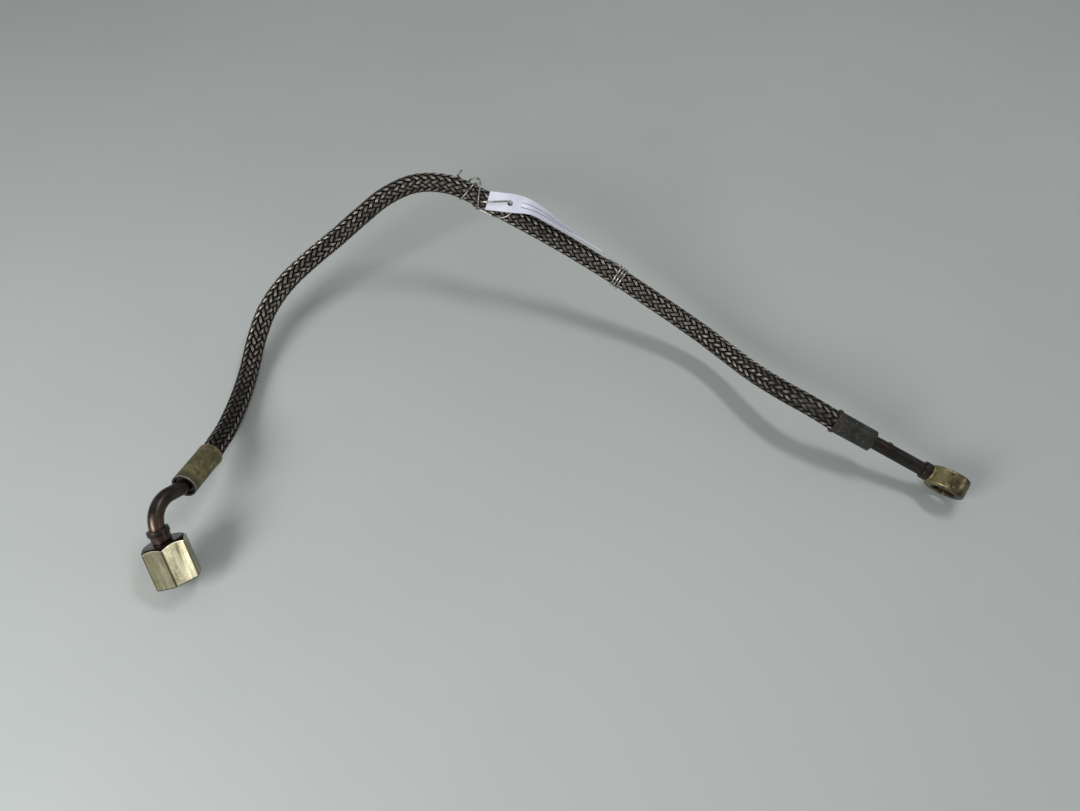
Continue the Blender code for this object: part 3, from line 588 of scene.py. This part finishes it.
def turned(name, corners, stand, sides=96):
    """A turned piece from its closed profile, made in millimetres and stood in place.
    Each corner is a radius and a height; a third number rounds it."""
    build = bmesh.new()
    turns = [math.tau * index / sides for index in range(sides)]
    rings = []
    for radius, height in rounded(corners):
        if radius < 1e-6:
            rings.append([build.verts.new((0, 0, height))] * sides)
            continue
        spots = [(radius * math.cos(turn), radius * math.sin(turn), height) for turn in turns]
        rings.append([build.verts.new(spot) for spot in spots])
    for ring, after in zip(rings, rings[1:] + rings[:1]):
        for index in range(sides):
            other = (index + 1) % sides
            # A ring on the axis is one vertex, so a face there has three.
            rim = dict.fromkeys((ring[index], ring[other], after[other], after[index]))
            if len(rim) > 2:
                build.faces.new(rim)
    build.transform(stand)
    return own_mesh(name, build)


def cut(target, tool, operation):
    """Joins, cuts or intersects target with tool, which is then removed."""
    modifier = target.modifiers.new("cut", "BOOLEAN")
    modifier.object = tool
    modifier.operation = operation
    modifier.solver = "EXACT"
    plain(target)
    bpy.data.objects.remove(tool)


def plain(piece):
    """Leaves a piece as the plain mesh that its modifiers made."""
    graph = bpy.context.evaluated_depsgraph_get()
    mesh = bpy.data.meshes.new_from_object(piece.evaluated_get(graph), depsgraph=graph)
    piece.modifiers.clear()
    piece.data = mesh


def worn_edges(piece, width, segments, angle):
    """Rounds a piece's edges where its faces meet at more than an angle."""
    bevel = piece.modifiers.new("worn_edges", "BEVEL")
    bevel.width = width * MM
    bevel.segments = segments
    bevel.limit_method = "ANGLE"
    bevel.angle_limit = math.radians(angle)
    plain(piece)


def dressed(piece, slot, material, *nodes, body="line"):
    """Gives a piece its finish, its body and the nodes that it stands for."""
    piece.data.materials.clear()
    piece.data.materials.append(material)
    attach(piece, body)
    if nodes:
        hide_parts(*nodes)
    return piece


def swept(name, line, radius, sides=16, inner=0.0):
    """A round bar or tube along a fine line of points, closed at both ends."""
    build = bmesh.new()
    heading = (line[1] - line[0]).normalized()
    side = heading.orthogonal().normalized()
    angles = [math.tau * turn / sides for turn in range(sides)]
    outside, inside = [], []
    for index, point in enumerate(line):
        before = line[max(index - 1, 0)]
        after = line[min(index + 1, len(line) - 1)]
        heading = (after - before).normalized()
        side = (side - heading * side.dot(heading)).normalized()
        other = heading.cross(side)
        arms = [side * math.cos(angle) + other * math.sin(angle) for angle in angles]
        outside.append([build.verts.new(point + arm * (radius * MM)) for arm in arms])
        if inner:
            inside.append([build.verts.new(point + arm * (inner * MM)) for arm in arms])
    pairs = [*zip(outside, outside[1:]), *zip(inside, inside[1:])]
    if inner:
        pairs += [(outside[0], inside[0]), (outside[-1], inside[-1])]
    else:
        build.faces.new(outside[0])
        build.faces.new(outside[-1])
    for ring, after in pairs:
        for turn in range(sides):
            other = (turn + 1) % sides
            build.faces.new((ring[turn], ring[other], after[other], after[turn]))
    return own_mesh(name, build)


def studio():
    """Camera at the photograph's place, floor, lamps and world."""
    scene = bpy.context.scene
    scene.view_settings.view_transform = "Standard"
    camera = bpy.data.cameras.new("camera")
    camera.sensor_width = 36.0
    camera.lens = 36.0 * FOCAL_SHARE
    camera.clip_start = 0.01
    camera.clip_end = 20.0
    level = Vector((0, math.sin(CAMERA_TILT), math.cos(CAMERA_TILT)))
    back = Vector((0, -math.cos(CAMERA_TILT), math.sin(CAMERA_TILT)))
    right = Vector((1, 0, 0)) * math.cos(CAMERA_ROLL) + level * math.sin(CAMERA_ROLL)
    up = level * math.cos(CAMERA_ROLL) - Vector((1, 0, 0)) * math.sin(CAMERA_ROLL)
    place = Matrix((right, up, back)).transposed().to_4x4()
    place.translation = bench((0, 0, CAMERA_HEIGHT))
    scene.camera = placed("camera", camera)
    scene.camera.matrix_world = place

    floor = bmesh.new()
    bmesh.ops.create_grid(floor, x_segments=2, y_segments=2, size=3.0)
    floor = own_mesh("floor", floor)
    floor.data.materials.append(coated("pale_grey_floor"))

    # The window stands low at the front left, so its light falls off towards the right.
    lamps = (
        ("lamp_behind", (0.352, 0.330, 1.1), (0.5, 0.16), 3.9),
        ("window_at_front_left", (-0.47, -0.40, 0.38), (0.3, 0.28), 4.2),
        ("low_card_at_right", (0.74, -0.19, 0.23), (0.2, 0.15), 0.6),
    )
    for name, spot, size, power in lamps:
        light = bpy.data.lights.new(name, "AREA")
        light.shape = "RECTANGLE"
        light.size, light.size_y = size
        light.energy = power
        lamp = placed(name, light)
        lamp.location = spot
        lamp.rotation_euler = Vector(spot).to_track_quat("Z", "Y").to_euler()

    world = bpy.data.worlds.new("studio")
    world.use_nodes = True
    scene.world = world
    background = world.node_tree.nodes["Background"]
    background.inputs["Color"].default_value = linear("#eef1f2")
    background.inputs["Strength"].default_value = 0.335


def group_of(name, inputs):
    """A new geometry node tree that takes a geometry and inputs, and what it is given."""
    tree = bpy.data.node_groups.new(name, "GeometryNodeTree")
    for label, kind in (("Geometry", "Geometry"), *inputs):
        tree.interface.new_socket(label, in_out="INPUT", socket_type="NodeSocket" + kind)
    tree.interface.new_socket("Geometry", in_out="OUTPUT", socket_type="NodeSocketGeometry")
    return tree, add(tree, "NodeGroupInput").outputs


def braid_tree():
    """Node tree that winds one hand's carriers of braid wire round the hose's line."""
    numbers = ("Hand", "Lead", "Radius", "Height", "Wire Radius", "Spacing", "Step", "Ramp", "Crimp")
    tree, given = group_of("braid_carriers", (
        ("Carriers", "Int"), ("Wires", "Int"), *[(name, "Float") for name in numbers], ("Wire", "Material"),
    ))
    line = add(tree, "GeometryNodeResampleCurve", {
        "Curve": given["Geometry"], "Length": given["Step"],
    }, mode="LENGTH").outputs["Curve"]
    values = {socket.name: socket for socket in given if socket.name}
    for name, kind, output in (
        ("reach", "GeometryNodeSplineParameter", "Length"), ("whole", "GeometryNodeSplineLength", "Length"),
        ("heading", "GeometryNodeInputTangent", "Tangent"), ("side", "GeometryNodeInputNormal", "Normal"),
    ):
        source = add(tree, kind)
        capture = tree.nodes.new("GeometryNodeCaptureAttribute")
        vector = output in ("Tangent", "Normal")
        capture.capture_items.new("VECTOR" if vector else "FLOAT", output)
        tree.links.new(line, capture.inputs["Geometry"])
        tree.links.new(source.outputs[output], capture.inputs[output])
        line = capture.outputs["Geometry"]
        values[name] = capture.outputs[output]
    wires = add(tree, "ShaderNodeMath", {0: given["Carriers"], 1: given["Wires"]}, operation="MULTIPLY")
    copies = add(tree, "GeometryNodeDuplicateElements", {
        "Geometry": line, "Amount": wires.outputs[0],
    }, domain="SPLINE")
    values["number"] = copies.outputs["Duplicate Index"]

    # Each step is a name, an operation, and its inputs: numbers, or the names of earlier steps.
    # A wire keeps a small angle beside its carrier's middle. Its height follows the crossings
    # that it passes, over two carriers and under two. The ferrules squeeze the hose's ends.
    for name, operation, *inputs in (
        ("place", "DIVIDE", "number", "Wires"),
        ("carrier", "FLOOR", "place"),
        ("wire", "MODULO", "number", "Wires"),
        ("run", "DIVIDE", "reach", "Lead"),
        ("turns", "MULTIPLY", "Hand", "run"),
        ("gaps", "SUBTRACT", "Wires", 1.0),
        ("middle", "MULTIPLY_ADD", "gaps", -0.5, "wire"),
        ("girth", "MULTIPLY", "Radius", math.tau),
        ("pitch", "DIVIDE", "girth", "Lead"),
        ("slant", "ARCTANGENT", "pitch"),
        ("slope", "COSINE", "slant"),
        ("step", "MULTIPLY", "middle", "Spacing"),
        ("reduced", "MULTIPLY", "Radius", "slope"),
        ("aside", "DIVIDE", "step", "reduced"),
        ("part", "DIVIDE", "carrier", "Carriers"),
        ("share", "ADD", "turns", "part"),
        ("angle", "MULTIPLY_ADD", "share", math.tau, "aside"),
        ("strands", "MULTIPLY", "Carriers", 2.0),
        ("own", "MULTIPLY", "share", "strands"),
        ("per", "DIVIDE", "Carriers", math.tau),
        ("crossings", "MULTIPLY_ADD", "aside", "per", "own"),
        ("phase", "MULTIPLY_ADD", "crossings", math.tau / 4, -math.tau / 8),
        ("wave", "COSINE", "phase"),
        ("full", "MULTIPLY", "wave", 1.25),
        ("floor", "MAXIMUM", "full", -1.0),
        ("beat", "MINIMUM", "floor", 1.0),
        ("over", "MULTIPLY", "beat", "Hand"),
        ("crown", "MULTIPLY_ADD", "over", 0.5, 0.5),
        ("raised", "MULTIPLY_ADD", "over", "Height", "Radius"),
        ("left", "SUBTRACT", "whole", "reach"),
        ("nearer", "MINIMUM", "reach", "left"),
        ("inwards", "DIVIDE", "nearer", "Ramp"),
        ("free", "MINIMUM", "inwards", 1.0),
        ("loose", "SUBTRACT", 1.0, "Crimp"),
        ("squeeze", "MULTIPLY_ADD", "free", "loose", "Crimp"),
        ("radius", "MULTIPLY", "raised", "squeeze"),
        ("aslant", "COSINE", "angle"),
        ("upright", "SINE", "angle"),
    ):
        sockets = {index: values.get(given_in, given_in) for index, given_in in enumerate(inputs)}
        values[name] = add(tree, "ShaderNodeMath", sockets, operation=operation).outputs[0]

    side = values["side"]
    other = add(tree, "ShaderNodeVectorMath", {
        0: values["heading"], 1: side,
    }, operation="CROSS_PRODUCT")
    first = add(tree, "ShaderNodeVectorMath", {0: side, "Scale": values["aslant"]}, operation="SCALE")
    second = add(tree, "ShaderNodeVectorMath", {
        0: other.outputs[0], "Scale": values["upright"],
    }, operation="SCALE")
    arm = add(tree, "ShaderNodeVectorMath", {0: first.outputs[0], 1: second.outputs[0]}, operation="ADD")
    offset = add(tree, "ShaderNodeVectorMath", {
        0: arm.outputs[0], "Scale": values["radius"],
    }, operation="SCALE")
    moved = add(tree, "GeometryNodeSetPosition", {
        "Geometry": copies.outputs["Geometry"], "Offset": offset.outputs[0],
    })
    # crown is 1 where a wire lies over and 0 where it dives under; the wire's finish paints shade by it.
    marked = add(tree, "GeometryNodeStoreNamedAttribute", {
        "Geometry": moved.outputs["Geometry"], "Name": "crown", "Value": values["crown"],
    }, data_type="FLOAT", domain="POINT")
    section = add(tree, "GeometryNodeCurvePrimitiveCircle", {
        "Resolution": 5, "Radius": given["Wire Radius"],
    })
    wires = add(tree, "GeometryNodeCurveToMesh", {
        "Curve": marked.outputs["Geometry"], "Profile Curve": section.outputs["Curve"], "Fill Caps": True,
    })
    smooth = add(tree, "GeometryNodeSetShadeSmooth", {"Geometry": wires.outputs["Mesh"]})
    painted = add(tree, "GeometryNodeSetMaterial", {
        "Geometry": smooth.outputs["Geometry"], "Material": given["Wire"],
    })
    add(tree, "NodeGroupOutput", {"Geometry": painted.outputs["Geometry"]})
    return tree


def line_object(name, points):
    """A curve object with one open spline through points."""
    curve = bpy.data.curves.new(name, "CURVE")
    curve.dimensions = "3D"
    curve.twist_mode = "MINIMUM"
    spline = curve.splines.new("POLY")
    spline.points.add(len(points) - 1)
    for place, point in zip(spline.points, points):
        place.co = (*point, 1.0)
    return placed(name, curve)


def grown(name, carrier, tree, values):
    """The plain mesh that a node tree grows on a carrier object, which is then removed."""
    modifier = carrier.modifiers.new("grow", "NODES")
    modifier.node_group = tree
    sockets = {item.name: item.identifier for item in tree.interface.items_tree if item.in_out == "INPUT"}
    for label, value in values.items():
        modifier[sockets[label]] = value
    graph = bpy.context.evaluated_depsgraph_get()
    mesh = bpy.data.meshes.new_from_object(carrier.evaluated_get(graph), depsgraph=graph)
    bpy.data.objects.remove(carrier)
    mesh.name = name
    return placed(name, mesh)


def braid(wire):
    """Both hands of the braid, wound over and under each other."""
    tree = braid_tree()
    lengths = {
        "Lead": BRAID_LEAD, "Radius": BRAID_RADIUS, "Height": BRAID_HEIGHT, "Spacing": BRAID_WIRE_SPACING,
        "Wire Radius": BRAID_WIRE_RADIUS, "Step": BRAID_STEP, "Ramp": BRAID_INSET,
    }
    made = []
    for name, hand in (("braid_right_hand", 1.0), ("braid_left_hand", -1.0)):
        line = line_object(name + "_line", hose_line(BRAID_INSET, BRAID_LINE_STEP))
        made.append(grown(name, line, tree, {
            "Carriers": BRAID_CARRIERS, "Wires": BRAID_WIRES, "Hand": hand, "Crimp": CRIMP_FACTOR,
            "Wire": wire, **{label: length * MM for label, length in lengths.items()},
        }))
    return made


def elbow_line():
    """Middle of the bent tube, from inside the ferrule to inside the nipple."""
    corners = [
        along(ELBOW_MOUTH, ELBOW_AXIS, ELBOW_FERRULE_LENGTH - FERRULE_RECESS + CLEARANCE),
        along(ELBOW_MOUTH, ELBOW_AXIS, ELBOW_FERRULE_LENGTH + ELBOW_KICK_OFFSET),
        along(NUT_ORIGIN, NUT_DIRECTION, ELBOW_CORNER_RISE),
        along(NUT_ORIGIN, NUT_DIRECTION, CLEARANCE - NIPPLE_SOCKET_DEPTH),
    ]
    line = [corners[0]]
    for index, (radius, steps) in enumerate(((ELBOW_KICK_RADIUS, 10), (ELBOW_BEND_RADIUS, 40)), 1):
        corner = corners[index]
        arrive = (corner - corners[index - 1]).normalized()
        leave = (corners[index + 1] - corner).normalized()
        bend = arrive.angle(leave)
        start = corner - arrive * (radius * MM * math.tan(bend / 2))
        inward = (leave - arrive * arrive.dot(leave)).normalized()
        centre = start + inward * (radius * MM)
        for step in range(steps + 1):
            turn = bend * step / steps
            arm = arrive * math.sin(turn) - inward * math.cos(turn)
            line.append(centre + arm * (radius * MM))
    line.append(corners[-1])
    return line


def ferrule(name, stand, length, outer, lip, taper):
    """Crimped ferrule with a rounded belled mouth, from its far end to its mouth.
    lip is how far the mouth stands out and how long it is."""
    lip, lip_length = lip
    return turned(name, [
        (outer - taper, length, 0.3),
        (outer, lip_length * 1.7, 0.5),
        (outer + lip, lip_length, 0.3),
        (outer + lip, 0.0, 0.28),
        (HOSE_RADIUS + 0.12, 0.0, 0.15),
        (FERRULE_BORE, CRIMP_RAMP, 0.4),
        (FERRULE_BORE, length, 0.12),
    ], stand)


def hexagon_nut():
    """The union nut: chamfered hexagon with eased corners, cone seat and bore."""
    corner = NUT_ACROSS_FLATS / math.sqrt(3)
    build = bmesh.new()
    inner = corner - NUT_CORNER_EASE / math.cos(math.radians(30))
    spread = []
    for index in range(6):
        turn = math.radians(60 * index)
        for step in (-1.0, -0.5, 0.0, 0.5, 1.0):
            lean = turn + math.radians(30 * step)
            centre = Vector((math.cos(turn), math.sin(turn), 0)) * inner
            spread.append(centre + Vector((math.cos(lean), math.sin(lean), 0)) * NUT_CORNER_EASE)
    rims = [[build.verts.new((p.x, p.y, z)) for p in spread] for z in (2.0, -NUT_LENGTH - 2.0)]
    build.faces.new(rims[0])
    build.faces.new(rims[1])
    for index in range(len(spread)):
        other = (index + 1) % len(spread)
        build.faces.new((rims[0][index], rims[0][other], rims[1][other], rims[1][index]))
    build.transform(NUT_STAND)
    nut = own_mesh("hexagon_nut", build)
    wide = corner + 1.0
    back_drop = (wide - NUT_BACK_CHAMFER_RADIUS) * NUT_BACK_SLOPE
    open_rise = (wide - NUT_OPEN_CHAMFER_RADIUS) * math.tan(math.radians(NUT_OPEN_CHAMFER_ANGLE))
    cone = turned("nut_chamfer", [
        (0, 0.0), (NUT_BACK_CHAMFER_RADIUS, 0.0, 0.35), (wide, -back_drop),
        (wide, open_rise - NUT_LENGTH), (NUT_OPEN_CHAMFER_RADIUS, -NUT_LENGTH, 0.2), (0, -NUT_LENGTH),
    ], NUT_STAND, 144)
    cut(nut, cone, "INTERSECT")
    cone_end = NUT_BACK_WALL + NUT_THREAD_RADIUS - TUBE_SEAT_RADIUS
    bore = turned("nut_bore", [
        (0, 2.0), (TUBE_SEAT_RADIUS, 2.0), (TUBE_SEAT_RADIUS, -NUT_BACK_WALL, 0.2),
        (NUT_THREAD_RADIUS, -cone_end, 0.3), (NUT_THREAD_RADIUS, NUT_MOUTH_DEPTH - NUT_LENGTH),
        (NUT_MOUTH_RADIUS, -NUT_LENGTH), (NUT_MOUTH_RADIUS, -NUT_LENGTH - 2.0), (0, -NUT_LENGTH - 2.0),
    ], NUT_STAND, 72)
    cut(nut, bore, "DIFFERENCE")
    worn_edges(nut, 0.12, 2, 24)
    soft_edges(nut, 24)
    return nut


def eye_ring():
    """The banjo eye: ring, neck, hole with its groove, tube socket and flat end."""
    half = EYE_THICKNESS / 2
    across = BANJO_STAND @ Matrix.Translation((0, 0, EYE_CENTRE)) @ Matrix.Rotation(math.radians(90), 4, "Y")
    eye = turned("eye_ring", [
        (0, half), (EYE_RADIUS, half, 1.2), (EYE_RADIUS, -half, 1.2), (0, -half),
    ], across, 144)
    neck = turned("eye_neck", [
        (0, NECK_START + EYE_NECK_LENGTH), (half - 0.05, NECK_START + EYE_NECK_LENGTH),
        (EYE_NECK_RADIUS, NECK_START + 0.4), (EYE_NECK_RADIUS - 0.3, NECK_START, 0.15), (0, NECK_START),
    ], BANJO_STAND)
    cut(eye, neck, "UNION")
    groove = EYE_HOLE_RADIUS + EYE_GROOVE_DEPTH
    land = EYE_GROOVE_WIDTH / 2
    drill = half + 1.0
    hole = turned("eye_hole", [
        (0, drill), (EYE_HOLE_RADIUS + 0.4, drill), (EYE_HOLE_RADIUS + 0.4, half, 0.15),
        (EYE_HOLE_RADIUS, half - 0.4, 0.15), (EYE_HOLE_RADIUS, land + EYE_GROOVE_DEPTH),
        (groove, land, 0.3), (groove, -land, 0.3), (EYE_HOLE_RADIUS, -land - EYE_GROOVE_DEPTH),
        (EYE_HOLE_RADIUS, 0.4 - half, 0.15), (EYE_HOLE_RADIUS + 0.4, -half, 0.15),
        (EYE_HOLE_RADIUS + 0.4, -drill), (0, -drill),
    ], across)
    cut(eye, hole, "DIFFERENCE")
    socket = turned("eye_socket", [
        (0, EYE_CENTRE), (TUBE_BORE, EYE_CENTRE), (TUBE_BORE, NECK_START + EYE_SOCKET_DEPTH),
        (TUBE_SEAT_RADIUS, NECK_START + EYE_SOCKET_DEPTH), (TUBE_SEAT_RADIUS, NECK_START - 1.0),
        (0, NECK_START - 1.0),
    ], BANJO_STAND, 48)
    cut(eye, socket, "DIFFERENCE")
    block = bmesh.new()
    bmesh.ops.create_cube(block, size=EYE_RADIUS * 2)
    lift = EYE_CENTRE + EYE_RADIUS - EYE_END_FLAT + EYE_RADIUS
    block.transform(BANJO_STAND @ Matrix.Translation((0, 0, lift)))
    cut(eye, own_mesh("eye_end_flat", block), "DIFFERENCE")
    worn_edges(eye, 0.22, 3, 30)
    soft_edges(eye, 28)
    return eye


def thread_tree():
    """Node tree that winds a thread's ridge as a spiral with a three-sided section."""
    numbers = ("Turns", "Pitch", "Radius", "Ridge")
    tree, given = group_of("internal_thread", (*[(name, "Float") for name in numbers], ("Metal", "Material")))
    height = add(tree, "ShaderNodeMath", {0: given["Turns"], 1: given["Pitch"]}, operation="MULTIPLY")
    spiral = add(tree, "GeometryNodeCurveSpiral", {
        "Resolution": 48, "Rotations": given["Turns"], "Start Radius": given["Radius"],
        "End Radius": given["Radius"], "Height": height.outputs[0],
    })
    upright = add(tree, "GeometryNodeSetCurveNormal", {"Curve": spiral.outputs["Curve"]}, mode="Z_UP")
    section = add(tree, "GeometryNodeCurvePrimitiveCircle", {"Resolution": 3, "Radius": given["Ridge"]})
    ridge = add(tree, "GeometryNodeCurveToMesh", {
        "Curve": upright.outputs["Curve"], "Profile Curve": section.outputs["Curve"], "Fill Caps": True,
    })
    painted = add(tree, "GeometryNodeSetMaterial", {
        "Geometry": ridge.outputs["Mesh"], "Material": given["Metal"],
    })
    add(tree, "NodeGroupOutput", {"Geometry": painted.outputs["Geometry"]})
    return tree


def nut_thread(metal):
    """The nut's inner thread, a ridge on the bore from the mouth to short of the nipple."""
    start = line_object("nut_thread_line", [Vector((0, 0, 0)), Vector((0, 0, 1))])
    ridge = grown("nut_thread", start, thread_tree(), {
        "Turns": NUT_THREAD_TURNS, "Pitch": NUT_THREAD_PITCH, "Radius": NUT_THREAD_RADIUS - SKIN_GAP,
        "Ridge": NUT_THREAD_RIDGE, "Metal": metal,
    })
    ridge.data.transform(NUT_STAND @ Matrix.Translation((0, 0, NUT_THREAD_START - NUT_LENGTH)))
    return ridge


def wire_line(stops):
    """Points along a wire wound round the hose through its stops."""
    line = []
    ends = with_ends([Vector(stop) for stop in stops])
    for index in range(1, len(ends) - 2):
        span = ends[index + 1] - ends[index]
        parts = max(3, math.ceil(abs(span.y) / 9), math.ceil(abs(span.x) / 0.6))
        section = spline_through(ends[index - 1:index + 3], parts)[parts:2 * parts]
        line += [round_hose(*stop) for stop in section]
    line.append(round_hose(*ends[-2]))
    return line


def tag_middle(distance):
    """Middle of the tag and the lean of its width, at a distance along the hose."""
    stops = [Vector(stop) for stop in TAG_STOPS]
    index = 0
    while index < len(stops) - 2 and stops[index + 1][0] < distance:
        index += 1
    share = (distance - stops[index][0]) / (stops[index + 1][0] - stops[index][0])
    curve = spline_through(stops, TAG_SPAN_PARTS)
    spot = (index + min(1, max(0, share))) * TAG_SPAN_PARTS
    low = min(int(spot), len(curve) - 2)
    here = curve[low].lerp(curve[low + 1], spot - low)
    rise, back, turn = here[1] * HOSE_RADIUS, here[2] * HOSE_RADIUS, math.radians(here[3])
    middle = beside_hose(distance, rise, back)
    edge = beside_hose(distance, rise + math.cos(turn), back + math.sin(turn))
    return middle, (edge - middle).normalized()


def tag_section(distance):
    """Middle of the tag, its heading and the direction of its width, square to the heading."""
    before, _ = tag_middle(distance - 1.5)
    after, _ = tag_middle(distance + 1.5)
    middle, across = tag_middle(distance)
    heading = (after - before).normalized()
    return middle, heading, (across - heading * across.dot(heading)).normalized()


def card_tag():
    """The card tag, bowed a little across its width, with its punched hole."""
    first, last = TAG_STOPS[0][0], TAG_STOPS[-1][0]
    build = bmesh.new()
    layer = build.loops.layers.uv.new("tag")
    grid = []
    for row in range(TAG_ROWS + 1):
        distance = first + (last - first) * row / TAG_ROWS
        middle, heading, across = tag_section(distance)
        normal = across.cross(heading)
        line = []
        for column in range(TAG_COLUMNS + 1):
            share = column / TAG_COLUMNS - 0.5
            bow = normal * (TAG_BOW * math.cos(share * math.pi) * MM)
            spot = middle + across * (share * TAG_WIDTH * MM) + bow
            across_card = column / TAG_COLUMNS * TAG_WIDTH * MM
            line.append((build.verts.new(spot), across_card, (distance - first) * BENCH_UNIT * MM))
        grid.append(line)
    for row, after in zip(grid, grid[1:]):
        for column in range(TAG_COLUMNS):
            corners = (row[column], after[column], after[column + 1], row[column + 1])
            face = build.faces.new([corner[0] for corner in corners])
            for loop, corner in zip(face.loops, corners):
                loop[layer].uv = corner[1:]
    tag = own_mesh("card_tag", build)
    wall = tag.modifiers.new("card", "SOLIDIFY")
    wall.thickness = TAG_THICKNESS * MM
    wall.offset = 0.0
    plain(tag)
    middle, heading, across = tag_section(TAG_HOLE_AT)
    punch = turned("tag_punch", [
        (0, 2), (TAG_HOLE_RADIUS, 2), (TAG_HOLE_RADIUS, -2), (0, -2),
    ], standing(middle, across.cross(heading)), 40)
    cut(tag, punch, "DIFFERENCE")
    soft_edges(tag, 30)
    return tag


def main():
    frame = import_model()
    nodes = frame["nodes"]
    studio()

    wire = dull_braid_wire()
    tie = coated("soft_galvanised_wire")
    stub_black = coated("oily_black_steel_tube")

    line = hose_line(CORE_INSET, CORE_STEP)
    core = swept("hose_core", line, CORE_RADIUS, 40)
    soft_edges(core, 40)
    dressed(core, "liner_rubber", coated("black_rubber_core"), "hose_liner", "wire_braid")
    braids = braid(wire)
    for piece in braids:
        dressed(piece, "braid_wire", wire)

    upper = swept("upper_tie", wire_line(UPPER_TIE_STOPS), TIE_RADIUS, 12)
    soft_edges(upper, 50)
    dressed(upper, "tie_wire", tie, "tie_wire_upper")
    stops = list(LOWER_TIE_LEAD)
    for turn in range(LOWER_TIE_TURNS):
        start = LOWER_TIE_START + LOWER_TIE_PITCH * turn
        stops += [(start + ahead, angle - 360 * turn, off) for ahead, angle, off in LOWER_TIE_TURN]
    lower = swept("lower_tie", wire_line(stops), TIE_RADIUS, 12)
    soft_edges(lower, 50)
    dressed(lower, "tie_wire", tie, "tie_wire_lower")
    tag = dressed(card_tag(), "tag_card", laminated_card(), "stock_tag")

    tube = swept("bent_tube", elbow_line(), TUBE_RADIUS, 48, TUBE_BORE)
    soft_edges(tube, 40)
    dressed(tube, "browned_steel", coated("heat_browned_steel_tube"), "elbow_tube")

    left = ferrule("left_ferrule", ELBOW_STAND, ELBOW_FERRULE_LENGTH, ELBOW_FERRULE_RADIUS, ELBOW_LIP, 0.0)
    dressed(left, "yellow_zinc", coated("yellow_passivated_zinc"), "elbow_ferrule")
    right = ferrule(
        "right_ferrule", BANJO_STAND, BANJO_FERRULE_LENGTH, BANJO_FERRULE_RADIUS, BANJO_LIP,
        BANJO_FERRULE_TAPER)
    dressed(right, "rusty_steel", coated("rusted_blackened_steel"), "banjo_ferrule")

    nut = hexagon_nut()
    zinc = coated("nut_worn_zinc_plate")
    dressed(nut, "pale_zinc", zinc, "union_nut", body="nut")
    dressed(nut_thread(zinc), "pale_zinc", zinc, body="nut")

    step = CLEARANCE + COLLAR_SLEEVE_LENGTH
    top = step + COLLAR_FLANGE_LENGTH
    collar = turned("stop_collar", [
        (COLLAR_FLANGE_RADIUS, top, 0.45), (COLLAR_FLANGE_RADIUS, step, 0.35),
        (COLLAR_SLEEVE_RADIUS, step, 0.15), (COLLAR_SLEEVE_RADIUS, CLEARANCE, 0.2),
        (TUBE_RADIUS + SKIN_GAP, CLEARANCE), (TUBE_RADIUS + SKIN_GAP, top, 0.2),
    ], NUT_STAND)
    dressed(collar, "browned_steel", coated("heat_browned_collar"), "nut_stop_collar")

    start = BANJO_FERRULE_LENGTH - FERRULE_RECESS + CLEARANCE
    end = NECK_START + EYE_SOCKET_DEPTH - CLEARANCE
    stub = turned("stub_pipe", [
        (TUBE_RADIUS, end), (TUBE_RADIUS, start), (TUBE_BORE, start), (TUBE_BORE, end),
    ], BANJO_STAND)
    dressed(stub, "black_steel", stub_black, "stub_tube")
    lump = bmesh.new()
    bmesh.ops.create_uvsphere(lump, u_segments=24, v_segments=16, radius=1.0)
    bmesh.ops.scale(lump, vec=LUMP_SIZE, verts=lump.verts)
    spot = (-TUBE_RADIUS, 0, BANJO_FERRULE_LENGTH + LUMP_FROM_FERRULE)
    lump.transform(BANJO_STAND @ Matrix.Translation(spot))
    lump.normal_update()
    lump = own_mesh("scale_lump", lump)
    dressed(lump, "black_steel", stub_black)
    foot = BANJO_FERRULE_LENGTH + STUB_LENGTH
    braze = turned("braze_ring", [
        (BRAZE_RADIUS, foot + BRAZE_LENGTH, 0.2), (BRAZE_RADIUS, foot, 0.4),
        (TUBE_RADIUS + SKIN_GAP, foot, 0.1), (TUBE_RADIUS + SKIN_GAP, foot + BRAZE_LENGTH),
    ], BANJO_STAND)
    dressed(braze, "black_steel", stub_black, "brazed_collar")
    dressed(eye_ring(), "eye_brass", coated("tarnished_yellow_plate"), "banjo_eye")

    steel = coated("dark_turned_steel")
    for name in ("sealing_nipple", "elbow_insert", "banjo_insert"):
        node = nodes[name]
        node.data.materials.clear()
        node.data.materials.append(steel)


main()
